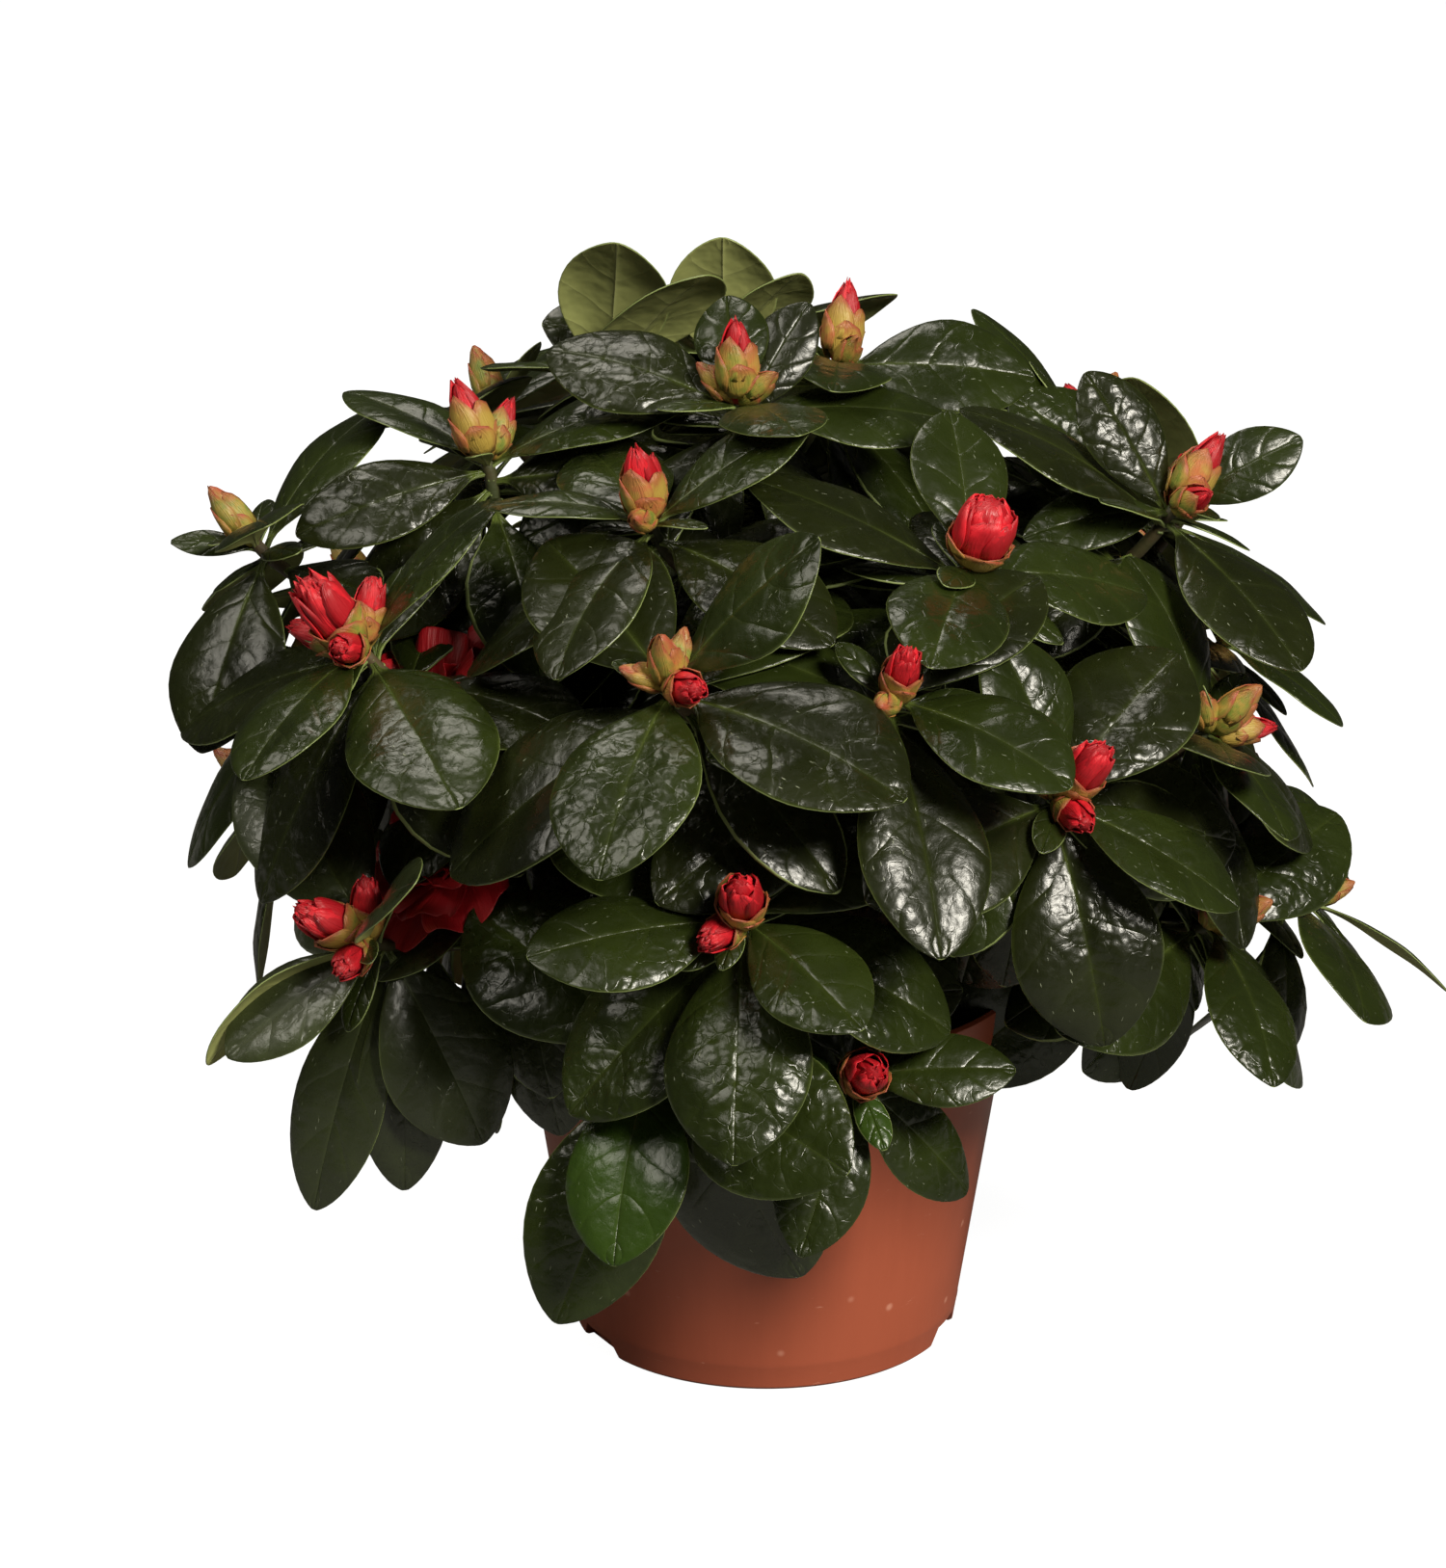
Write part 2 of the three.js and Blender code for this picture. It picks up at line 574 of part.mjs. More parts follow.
// An open bloom: a stalk that swells to the flower's heart, and a ring of broad petals.
function petalFrames(shoot) {
  const heart = sum([1, shoot.tip], [BLOOM.stalk, shoot.axis]);
  return Array.from({ length: BLOOM.petals }, (_, index) => leafFrame({
    root: heart,
    axis: shoot.axis,
    clock: shoot.turn + index * (360 / BLOOM.petals),
    pitch: BLOOM.pitch,
    roll: 0,
    droop: 0,
    bend: radians(LEAF.bend),
    length: BLOOM.radius,
    half: BLOOM.radius * BLOOM.width * 0.5,
  }, 0, 0));
}

function blossomSolids(shoot) {
  if (!shoot.bloom) return budLines(shoot).map(budSolid);
  const petals = petalFrames(shoot).map((petal) => leafSolid(petal, BLOOM.rows));
  return [budSolid(budLine(shoot, 0)), ...petals];
}

// Assembly. A leaf that would touch the pot, a limb or another mass is skipped.
const group = new THREE.Group();
group.name = 'potted_azalea';
const pot = potSolid();
const soil = soilSolid();
const trunk = limb(trunkCurve, trunkRadius, TRUNK.sides, TRUNK.steps);
const aroundTrunk = limb(
  trunkCurve, (share) => trunkRadius(share) + GAP, TRUNK.sides, TRUNK.steps,
);
group.add(named('pot', pot, plastic));
group.add(named('root_ball', soil, peat));
group.add(named('trunk', trunk, bark));

const masses = plannedMasses();
masses.forEach(branch);
masses.forEach((mass) => {
  const stemStart = BOUGH.share + GAP / mass.line.getLength();
  const boughRadius = (share) => THREE.MathUtils.lerp(BOUGH.start, BOUGH.end, share);
  const bough = limb(new Stretch(mass.line, 0, BOUGH.share), boughRadius, BOUGH.sides, BOUGH.steps);
  mass.bough = largest(bough.subtract(aroundTrunk));
  const leader = new THREE.CurvePath();
  leader.add(new Stretch(mass.line, stemStart, 1));
  leader.add(mass.shoots[0].twig);
  const leaderRadius = (share) => THREE.MathUtils.lerp(BOUGH.end, TWIG.end, share);
  const twigRadius = (share) => THREE.MathUtils.lerp(TWIG.start, TWIG.end, share);
  mass.pieces = [
    limb(leader, leaderRadius, TWIG.sides, TWIG.leaderSteps),
    ...mass.shoots.slice(1).map((shoot) => limb(shoot.twig, twigRadius, TWIG.sides, TWIG.steps)),
    ...mass.shoots.flatMap(blossomSolids),
  ];
});

const limbs = [pot, soil, trunk, ...masses.map((mass) => mass.bough)];
const touches = (piece, others) => others.some((other) => piece.minGap(other, 1) < GAP);
placeLeaves(masses).forEach(({ mass, leaf }) => {
  const piece = leafSolid(leaf);
  const others = masses.filter((other) => other !== mass).flatMap((other) => other.pieces);
  if (!touches(piece, limbs) && !touches(piece, others)) mass.pieces.push(piece);
});
masses.forEach((mass) => {
  group.add(named(`bough_${mass.name}`, mass.bough, bark));
  group.add(named(`foliage_${mass.name}`, fused(mass.pieces), foliage));
});

export default group;
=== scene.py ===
import math

import bmesh
import bpy
import numpy as np
from mathutils import Matrix, Vector, noise


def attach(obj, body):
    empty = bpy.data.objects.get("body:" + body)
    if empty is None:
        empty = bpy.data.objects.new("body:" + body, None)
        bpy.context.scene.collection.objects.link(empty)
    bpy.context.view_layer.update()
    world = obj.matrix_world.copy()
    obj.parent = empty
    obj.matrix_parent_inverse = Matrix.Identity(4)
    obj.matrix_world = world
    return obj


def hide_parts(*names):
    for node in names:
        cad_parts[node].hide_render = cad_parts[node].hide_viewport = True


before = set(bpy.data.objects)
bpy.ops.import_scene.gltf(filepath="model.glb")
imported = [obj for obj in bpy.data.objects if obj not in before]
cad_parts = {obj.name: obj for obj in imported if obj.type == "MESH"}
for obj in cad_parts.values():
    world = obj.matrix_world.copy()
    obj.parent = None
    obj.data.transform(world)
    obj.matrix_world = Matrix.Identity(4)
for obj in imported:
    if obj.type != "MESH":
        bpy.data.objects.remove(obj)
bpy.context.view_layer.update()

MM = 0.001

# Camera: it looks down a little on the plant, from a metre in front of it.
CAMERA_PLACE = (-10, -1100, 510)
CAMERA_PITCH = 18.93
CAMERA_LENS = 115.6
SENSOR = 36
CLIP_START = 0.05


def new_object(name, data):
    """An object of this data, in the scene."""
    made = bpy.data.objects.new(name, data)
    bpy.context.scene.collection.objects.link(made)
    return made


camera = new_object("camera", bpy.data.cameras.new("camera"))
camera.location = Vector(CAMERA_PLACE) * MM
camera.rotation_euler = (math.radians(90 - CAMERA_PITCH), 0, 0)
camera.data.lens = CAMERA_LENS
camera.data.sensor_width = SENSOR
camera.data.clip_start = CLIP_START
bpy.context.scene.camera = camera
bpy.context.scene.view_settings.view_transform = "Standard"


# Studio: a pale floor that runs far back, a soft box above and to the right of the camera, a
# broad weaker one high at the left, and a small one behind that lights the top of the crown.
class Wire:
    """A node's output that is reckoned with like a number: each sum adds its Math node."""

    def __init__(self, socket):
        self.socket = socket

    def node(self, kind, settings, inputs, output=0):
        """Adds a node: its settings come first, then its inputs are filled or linked."""
        tree = self.socket.id_data
        made = tree.nodes.new("ShaderNode" + kind)
        for name, value in settings.items():
            setattr(made, name, value)
        for name, value in inputs.items():
            if isinstance(value, Wire):
                tree.links.new(value.socket, made.inputs[name])
            else:
                made.inputs[name].default_value = value
        return Wire(made.outputs[output])

    def maths(self, operation, *values):
        return self.node("Math", {"operation": operation}, dict(enumerate(values)))

    def __add__(self, other):
        return self.maths("ADD", self, other)

    def __sub__(self, other):
        return self.maths("SUBTRACT", self, other)

    def __rsub__(self, other):
        return self.maths("SUBTRACT", other, self)

    def __mul__(self, other):
        return self.maths("MULTIPLY", self, other)

    def __pow__(self, other):
        return self.maths("POWER", self, other)

    def __abs__(self):
        return self.maths("ABSOLUTE", self)

    __radd__ = __add__

    def step(self, low, high):
        """A smooth step from 0 at low to 1 at high."""
        inputs = {"Value": self, "From Min": low, "From Max": high}
        return self.node("MapRange", {"interpolation_type": "SMOOTHSTEP"}, inputs)

    def blend(self, first, second):
        """The first colour where this wire is 0 and the second where it is 1."""
        return self.node("Mix", {"data_type": "RGBA"}, {0: self, 6: first, 7: second}, 2)

    def grain(self, scale, detail=2, roughness=0.5):
        """Noise from 0 to 1 at this place, with so many lumps to the metre."""
        inputs = {"Vector": self, "Scale": scale, "Detail": detail, "Roughness": roughness}
        return self.node("TexNoise", {}, inputs)

    def cells(self, scale, feature="F1"):
        """The distance to the middle of this place's cell, or to its edge as that feature."""
        return self.node("TexVoronoi", {"feature": feature}, {"Vector": self, "Scale": scale})

    def stretched(self, scale):
        """This place, scaled along each axis."""
        return self.node("VectorMath", {"operation": "MULTIPLY"}, {0: self, 1: scale})

    def shifted(self, way):
        """This place, moved by another wire."""
        return self.node("VectorMath", {"operation": "ADD"}, {0: self, 1: way})


class Finish:
    """A material: its shader, the piece's own place and the sheet's own width and length."""

    def __init__(self, name, color, roughness):
        self.material = bpy.data.materials.new(name)
        self.material.use_nodes = True
        tree = self.material.node_tree
        self.shader = tree.nodes["Principled BSDF"]
        lines = tree.nodes.new("ShaderNodeTexCoord")
        self.place = Wire(lines.outputs["Object"])
        self.sheet = Wire(lines.outputs["UV"])
        self.width = self.sheet.node("SeparateXYZ", {}, {0: self.sheet})
        self.length = self.sheet.node("SeparateXYZ", {}, {0: self.sheet}, 1)
        self.set("Base Color", color)
        self.set("Roughness", roughness)

    def set(self, name, value):
        """Gives an input of the shader a value, a colour or a wire."""
        if isinstance(value, Wire):
            self.material.node_tree.links.new(value.socket, self.shader.inputs[name])
        else:
            self.shader.inputs[name].default_value = value

    def relief(self, height):
        """Relief by a height in millimetres."""
        inputs = {"Height": height, "Strength": 1.0, "Distance": MM}
        self.set("Normal", height.node("Bump", {}, inputs))


FLOOR_HALF = 6.0
FLOOR_COLOR = (0.2, 0.2, 0.2, 1)
FLOOR_GLOW = (0.97, 0.97, 0.97, 1)
NO_GLOW = (0, 0, 0, 1)

floor_finish = Finish("studio_floor", FLOOR_COLOR, 0.8)
floor_tree = floor_finish.material.node_tree
seen = Wire(floor_tree.nodes.new("ShaderNodeLightPath").outputs["Is Camera Ray"])
floor_finish.set("Emission Color", seen.blend(NO_GLOW, FLOOR_GLOW))
floor_finish.set("Emission Strength", 1.0)


def new_mesh(name, bm):
    """A mesh from a bmesh, which is freed."""
    mesh = bpy.data.meshes.new(name)
    bm.to_mesh(mesh)
    bm.free()
    return mesh


floor_bm = bmesh.new()
bmesh.ops.create_grid(floor_bm, x_segments=1, y_segments=1, size=FLOOR_HALF)
floor = new_object("studio_floor", new_mesh("studio_floor", floor_bm))
floor.data.materials.append(floor_finish.material)

# Each soft box: name, place, point it faces, side and power in watts.
SOFT_BOXES = [
    ("key_light", (0.72, -1.0, 1.05), (0, 0, 0.15), 0.4, 33),
    ("left_light", (-0.85, -0.45, 1.4), (0, 0, 0.2), 0.8, 12.5),
    ("top_light", (-0.15, 0.5, 1.15), (0, 0, 0.2), 0.4, 3.5),
]
LIGHT_COLOR = (1.0, 0.95, 0.84)
WORLD_COLOR = (1.0, 0.96, 0.86, 1)
WORLD_STRENGTH = 0.035

for light_name, light_place, light_aim, light_side, light_power in SOFT_BOXES:
    light = new_object(light_name, bpy.data.lights.new(light_name, "AREA"))
    light.data.size = light_side
    light.data.energy = light_power
    light.data.color = LIGHT_COLOR
    light.location = light_place
    light.rotation_euler = (Vector(light_aim) - light.location).to_track_quat("-Z", "Y").to_euler()
world = bpy.data.worlds.new("studio")
world.use_nodes = True
background = world.node_tree.nodes["Background"]
background.inputs["Color"].default_value = WORLD_COLOR
background.inputs["Strength"].default_value = WORLD_STRENGTH
bpy.context.scene.world = world

# Pot: a thin moulded plastic shell, terracotta coloured. The rim is a wider band, a moulding line
# runs round low down, and three drain notches are cut in the edge of its flat base.
POT_HEIGHT = 88.5
RIM_RADIUS = 60
RIM_FOOT = 59
RIM_BAND = 11
WALL_TOP = 56.9
BASE_RADIUS = 45
WALL = 1.8
POT_FLOOR = 2.6
MOULDING = 6.5
MOULDING_STEP = 0.12
POT_EDGE = 0.8
POT_STEPS = 144
DRAIN_ANGLES = (-60, 70, 185)
DRAIN_WIDTH = 17
DRAIN_TOP = 11
DRAIN_HEIGHT = 4.5
DRAIN_INSIDE = 3
DRAIN_REACH = 12
POT_ROUNDING = 0.35
POT_ROUND_FROM = 25
POT_COLOR = (0.38, 0.086, 0.040, 1)
POT_DARK = (0.325, 0.070, 0.032, 1)
POT_SCUFF = (0.70, 0.34, 0.24, 1)


def mix(first, second, share):
    return first + (second - first) * share


def wall_radius(height):
    return mix(BASE_RADIUS, WALL_TOP, height / (POT_HEIGHT - RIM_BAND))


def spun(profile, steps):
    """A bmesh of a profile of radii and heights, turned round the plant's axis."""
    bm = bmesh.new()
    corners = [bm.verts.new(Vector((radius, 0, height)) * MM) for radius, height in profile]
    for pair in zip(corners, corners[1:]):
        bm.edges.new(pair)
    bmesh.ops.spin(
        bm, geom=bm.verts[:] + bm.edges[:], cent=(0, 0, 0), axis=(0, 0, 1), dvec=(0, 0, 0),
        angle=math.tau, steps=steps, use_merge=True,
    )
    bmesh.ops.remove_doubles(bm, verts=bm.verts[:], dist=MM * 0.01)
    bmesh.ops.dissolve_degenerate(bm, edges=bm.edges[:], dist=MM * 0.001)
    bmesh.ops.recalc_face_normals(bm, faces=bm.faces[:])
    return bm


def new_piece(mesh, finishes, nodes):
    """A piece named as its mesh, that stands for CAD nodes and moves with the one body."""
    for finish in finishes:
        mesh.materials.append(finish.material)
    mesh.shade_smooth()
    piece = new_object(mesh.name, mesh)
    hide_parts(*nodes)
    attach(piece, "root")
    return piece


def modify(piece, name, kind, settings):
    """Adds a modifier with these settings."""
    made = piece.modifiers.new(name, kind)
    for setting, value in settings.items():
        setattr(made, setting, value)


band_foot = POT_HEIGHT - RIM_BAND
pot_profile = [
    (0, 0), (BASE_RADIUS - POT_EDGE, 0), (wall_radius(POT_EDGE), POT_EDGE),
    (wall_radius(MOULDING), MOULDING - POT_EDGE / 2),
    (wall_radius(MOULDING) + MOULDING_STEP, MOULDING),
    (wall_radius(MOULDING + POT_EDGE), MOULDING + POT_EDGE),
    (WALL_TOP, band_foot), (RIM_FOOT, band_foot + POT_EDGE),
    (RIM_RADIUS, POT_HEIGHT - POT_EDGE), (RIM_RADIUS - POT_EDGE, POT_HEIGHT),
    (RIM_RADIUS - WALL, POT_HEIGHT - POT_EDGE), (RIM_FOOT - WALL, band_foot + WALL),
    (WALL_TOP - WALL, band_foot), (wall_radius(POT_FLOOR) - WALL, POT_FLOOR), (0, POT_FLOOR),
]

notch_bm = bmesh.new()
for drain_angle in DRAIN_ANGLES:
    outline = [
        (-DRAIN_WIDTH / 2 - 1, -1), (DRAIN_WIDTH / 2 + 1, -1), (DRAIN_WIDTH / 2, 0),
        (DRAIN_TOP / 2, DRAIN_HEIGHT), (-DRAIN_TOP / 2, DRAIN_HEIGHT), (-DRAIN_WIDTH / 2, 0),
    ]
    front = DRAIN_INSIDE - BASE_RADIUS
    corners = [notch_bm.verts.new(Vector((x, front, z)) * MM) for x, z in outline]
    side = notch_bm.faces.new(corners)
    pushed = bmesh.ops.extrude_face_region(notch_bm, geom=[side])["geom"]
    moved = [part for part in pushed if isinstance(part, bmesh.types.BMVert)]
    bmesh.ops.translate(notch_bm, verts=moved, vec=(0, -DRAIN_REACH * MM, 0))
    turned = Matrix.Rotation(math.radians(drain_angle), 4, "Z")
    bmesh.ops.transform(notch_bm, matrix=turned, verts=corners + moved)
bmesh.ops.recalc_face_normals(notch_bm, faces=notch_bm.faces[:])
notches = new_object("drain_notches", new_mesh("drain_notches", notch_bm))

pot_finish = Finish("terracotta_plastic", POT_COLOR, 0.42)
clouds = pot_finish.place.grain(14, 3)
streaks = pot_finish.place.stretched((1, 1, 0.06)).grain(420, 2)
scuffs = pot_finish.place.stretched((0.25, 0.25, 1)).grain(520, 3, 0.7).step(0.69, 0.76)
specks = 1 - pot_finish.place.cells(95).step(0.03, 0.13)
smudges = specks * pot_finish.place.grain(34, 1).step(0.52, 0.58)
marks = smudges * 0.5 + scuffs * 0.35
tone = (clouds * 0.85 + streaks * 0.15).step(0.35, 0.7)
pot_finish.set("Base Color", marks.blend(tone.blend(POT_DARK, POT_COLOR), POT_SCUFF))
pot_finish.set("Roughness", 0.34 + clouds * 0.14 + marks * 0.2)
pot_finish.relief(pot_finish.place.grain(900, 2) * 0.02 + streaks * 0.015 - scuffs * 0.02)
pot_mesh = new_mesh("plastic_pot", spun(pot_profile, POT_STEPS))
pot = new_piece(pot_mesh, [pot_finish], ["pot"])
modify(pot, "drain_notches", "BOOLEAN",
       {"object": notches, "operation": "DIFFERENCE", "solver": "EXACT"})
cut_mesh = bpy.data.meshes.new_from_object(pot.evaluated_get(bpy.context.evaluated_depsgraph_get()))
pot.modifiers.clear()
pot.data = cut_mesh
bpy.data.objects.remove(notches)
modify(pot, "moulded_edges", "BEVEL", {
    "width": POT_ROUNDING * MM, "segments": 2, "angle_limit": math.radians(POT_ROUND_FROM),
    "harden_normals": True,
})

# Root ball: moist peat with crumbs of bark and white grit, pressed into the pot. It is flat round
# the trunk and falls a little towards the wall.
SOIL_TOP = 80
SOIL_EDGE_DROP = 2.5
SOIL_FLAT = 18
SOIL_BRIM = 4
SOIL_BRIM_DROP = 1.2
SOIL_GAP = 0.3
SOIL_LUMPS = 1.1
LUMP_SCALE = 260
LUMP_MIDDLE = 0.9
CRUMB_SCALE = 620
CRUMB_SHARE = 0.6
SOIL_STEPS = 96
SOIL_RINGS = 16
PEAT_COLOR = (0.045, 0.025, 0.015, 1)
PEAT_PALE = (0.12, 0.072, 0.042, 1)


def soil_radius(height):
    return wall_radius(height) - WALL - SOIL_GAP


soil_edge = SOIL_TOP - SOIL_BRIM_DROP - SOIL_EDGE_DROP
brim_radius = soil_radius(soil_edge) - SOIL_BRIM
soil_profile = [(0, POT_FLOOR + SOIL_GAP), (soil_radius(POT_FLOOR), POT_FLOOR + SOIL_GAP),
                (soil_radius(soil_edge), soil_edge)]
for ring in range(SOIL_RINGS + 1):
    radius = mix(brim_radius, 0, ring / SOIL_RINGS)
    drop = SOIL_BRIM_DROP * max(0, (radius - SOIL_FLAT) / (brim_radius - SOIL_FLAT))
    soil_profile.append((radius, SOIL_TOP - drop))
soil_bm = spun(soil_profile, SOIL_STEPS)
for vertex in soil_bm.verts:
    if vertex.co.z > (soil_edge + 1) * MM:
        crumb = CRUMB_SHARE * noise.noise(vertex.co * CRUMB_SCALE)
        lump = noise.noise(vertex.co * LUMP_SCALE) + crumb - LUMP_MIDDLE
        vertex.co.z += SOIL_LUMPS * MM * lump
peat_finish = Finish("moist_peat", PEAT_COLOR, 0.95)
crumbs = peat_finish.place.cells(420)
peat_finish.set("Base Color", (1 - crumbs.step(0.1, 0.5)).blend(PEAT_COLOR, PEAT_PALE))
peat_finish.relief(peat_finish.place.grain(700, 4) * 0.9 - crumbs * 0.8)
new_piece(new_mesh("peat_root_ball", soil_bm), [peat_finish], ["root_ball"])

# Trunk: short and woody, with a root flare at the soil and a slight lean to the left. Its bark is
# brown, with shallow upright cracks.
TRUNK_FOOT = 80.3
TRUNK_HEIGHT = 46
TRUNK_LEAN = 4
FOOT_RADIUS = 11
NECK_RADIUS = 7.2
TIP_RADIUS = 5
FLARE_SHARE = 0.25
TOP_SHARE = 0.6
TRUNK_ROWS = 34
TRUNK_SIDES = 28
BARK_RELIEF = 0.55
BOUGH_RELIEF = BARK_RELIEF * 0.4
RIDGES = 2.4
RIDGE_RISE = 0.07
RIDGE_MIDDLE = 0.3
LIMB_SHIFT = 0.3
FINE_TIMES = 3
FINE_RISE = 0.3
FINE_SHARE = 0.4
BARK_COLOR = (0.16, 0.085, 0.042, 1)
BARK_DARK = (0.045, 0.026, 0.015, 1)
UP = np.array([0.0, 0.0, 1.0])


def unit(way):
    return way / np.linalg.norm(way)


def on_curve(points, share):
    """The place at a share of the curve that these points and handles shape."""
    while len(points) > 1:
        points = [mix(first, second, share) for first, second in zip(points, points[1:])]
    return points[0]


def line_on(points, start, end, count):
    """So many places along a curve, from one share of it to another."""
    return np.array([on_curve(points, share) for share in np.linspace(start, end, count)])


def curve_way(points, share):
    return unit(on_curve([second - first for first, second in zip(points, points[1:])], share))


def sheet_uv(rows, columns):
    """The width and length of each corner of a grid, both from 0 to 1."""
    length, width = np.meshgrid(np.linspace(0, 1, rows), np.linspace(0, 1, columns), indexing="ij")
    return np.stack([width, length], axis=-1)


def tube(points, radii, sides, relief=0.0):
    """Rings of points along a line, as rows of one grid closed round the line, and its uv."""
    ways = np.gradient(points, axis=0)
    ways = ways / np.linalg.norm(ways, axis=1)[:, None]
    chord = unit(points[-1] - points[0])
    reference = np.array([0.0, 1.0, 0.0]) if abs(chord[2]) > 0.8 else UP
    side = np.cross(reference, ways)
    side = side / np.linalg.norm(side, axis=1)[:, None]
    other = np.cross(ways, side)
    turns = np.linspace(0, math.tau, sides, endpoint=False)
    reach = radii[:, None] * np.ones(sides)[None, :]
    if relief:
        for row, up in enumerate(points[:, 2]):
            for place, turn in enumerate(turns):
                spot = Vector((math.cos(turn) * RIDGES, math.sin(turn) * RIDGES, up * RIDGE_RISE))
                ridge = noise.noise(spot + Vector(points[0]) * LIMB_SHIFT)
                spot = Vector((spot.x * FINE_TIMES, spot.y * FINE_TIMES, up * FINE_RISE))
                fine = noise.noise(spot) * FINE_SHARE
                reach[row, place] += relief * (ridge + fine - RIDGE_MIDDLE)
    circle = (np.cos(turns)[None, :, None] * side[:, None]
              + np.sin(turns)[None, :, None] * other[:, None])
    return points[:, None] + reach[:, :, None] * circle, sheet_uv(len(points), sides + 1)


def joined(name, grids):
    """One mesh of many grids, each given by its points, its uv and the number of its finish. A
    grid whose uv has one column more than its points is closed round and capped at both ends."""
    points = []
    faces = []
    corners = []
    numbers = []
    count = 0
    for grid, uv, number in grids:
        rows, columns = grid.shape[:2]
        closed = uv.shape[1] > columns
        index = np.arange(rows * columns).reshape(rows, columns) + count
        if closed:
            index = np.concatenate([index, index[:, :1]], axis=1)
        turns = [(slice(None, -1), slice(None, -1)), (slice(None, -1), slice(1, None)),
                 (slice(1, None), slice(1, None)), (slice(1, None), slice(None, -1))]
        faces += np.stack([index[corner] for corner in turns], axis=-1).reshape(-1, 4).tolist()
        corners.append(np.stack([uv[corner] for corner in turns], axis=-2).reshape(-1, 2))
        if closed:
            faces += [index[0, :-1][::-1].tolist(), index[-1, :-1].tolist()]
            corners.append(np.concatenate([uv[0, :-1], uv[-1, :-1]]))
        numbers += [number] * (len(faces) - len(numbers))
        points.append(grid.reshape(-1, 3))
        count += rows * columns
    mesh = bpy.data.meshes.new(name)
    mesh.from_pydata((np.concatenate(points) * MM).tolist(), [], faces)
    layer = mesh.uv_layers.new(name="sheet")
    layer.data.foreach_set("uv", np.concatenate(corners).ravel().astype(np.float32))
    mesh.polygons.foreach_set("material_index", np.array(numbers, np.int32))
    return mesh


trunk_curve = [
    np.array([0.0, 0.0, TRUNK_FOOT]), np.array([0.0, 0.0, TRUNK_FOOT + TRUNK_HEIGHT / 2]),
    np.array([-TRUNK_LEAN, 0.0, TRUNK_FOOT + TRUNK_HEIGHT]),
]
trunk_shares = np.linspace(0, 1, TRUNK_ROWS)
trunk_line = line_on(trunk_curve, 0, 1, TRUNK_ROWS)
flare = (FOOT_RADIUS - NECK_RADIUS) * np.maximum(0, 1 - trunk_shares / FLARE_SHARE) ** 2
trunk_radii = mix(NECK_RADIUS, TIP_RADIUS, trunk_shares) + flare
trunk_radii[-1] *= TOP_SHARE

bark_finish = Finish("brown_bark", BARK_COLOR, 0.85)
cracks = bark_finish.place.stretched((1, 1, 0.3)).grain(420, 4, 0.6).step(0.38, 0.6)
plates = bark_finish.place.grain(90, 2)
bark_finish.set("Base Color", (cracks * (0.6 + plates * 0.5)).blend(BARK_DARK, BARK_COLOR))
bark_finish.relief(cracks * 0.35 + bark_finish.place.grain(1500, 3) * 0.12)
trunk_grid = (*tube(trunk_line, trunk_radii, TRUNK_SIDES, BARK_RELIEF), 0)
new_piece(joined("woody_trunk", [trunk_grid]), [bark_finish], ["trunk"])

# Boughs and twigs: each bough leaves the trunk, forks, and carries one mass of foliage. The rule
# below sets out every mass, its fork and its shoots from these few sizes.
BOUGH_START = 3.1
BOUGH_END = 2.4
BOUGH_SHARE = 0.55
FORK_SHARE = 0.62
BOUGH_LIFT = 0.5
BOUGH_ROWS = 14
BOUGH_SIDES = 14
TWIG_START = 2.0
TWIG_END = 1.4
TWIG_LEAVE = 0.3
TWIG_ARRIVE = 0.35
TWIG_ROWS = 12
TWIG_SIDES = 8
STEM_ROWS = 6
SHOOT_HEART = 112
SHOOT_OUTWARD = 0.75
SHOOT_UPWARD = 0.42

# The shoots that the front shows, mass by mass. Each ends in a rosette: angle round the plant,
# reach from its middle, height, where its leaf spiral starts, its hand, rosette leaves, longest
# leaf, and its buds: s small, c closed, t with a red tip, r red, p with its petals parting, o a
# round half-open one, or a whole bloom.
FRONT = [
    ("upper_front", 109, [(-23, 67, 215, 270, 1, 6, 49, "tct"), (35, 76, 205, 5, -1, 6, 53, "o")]),
    ("front", 98, [(-12, 102, 190, 50, 1, 6, 58, "cccr"), (15, 101, 186, 125, 1, 5, 55, "rc")]),
    ("left", 99, [(-60, 104, 183, 170, -1, 6, 57, "prrr"), (-60, 78, 157, 30, 1, 4, 48, "bloom")]),
    ("front_right", 106, [
        (34, 111, 162, 340, 1, 5, 52, "rrtc"), (68, 107, 160, 210, 1, 8, 50, "ctc"),
    ]),
    ("upper_left", 111, [(-77, 65, 216, 285, 1, 7, 53, "tt"), (-85, 117, 195, 90, 1, 5, 50, "c")]),
    ("upper_right", 113, [(85, 93, 203, 130, 1, 5, 55, "ttt"), (112, 106, 186, 60, 1, 5, 50, "c")]),
    ("top", 126, [
        (-15, 26, 232, 20, 1, 6, 51, "tcc"), (140, 26, 229, 90, 1, 6, 50, "tc"),
        (190, 60, 222, 10, -1, 6, 46, "cc"), (225, 56, 222, 350, 1, 6, 46, "c"),
    ]),
    ("low_left", 88, [
        (-52, 113, 121, 60, 1, 7, 60, "rtrr"), (-50, 82, 127, 200, 1, 4, 46, "bloom"),
    ]),
    ("low_front", 91, [
        (-3, 112, 142, 130, 1, 7, 54, "rr"), (-14, 107, 107, 185, 1, 5, 60, "s"),
        (10, 107, 103, 290, 1, 5, 44, "r"),
    ]),
    ("low_right", 93, [
        (66, 110, 115, 210, 1, 6, 54, "cc"), (86, 128, 108, 335, 1, 5, 52, "s"),
        (95, 102, 117, 80, 1, 4, 46, "bloom"),
    ]),
]

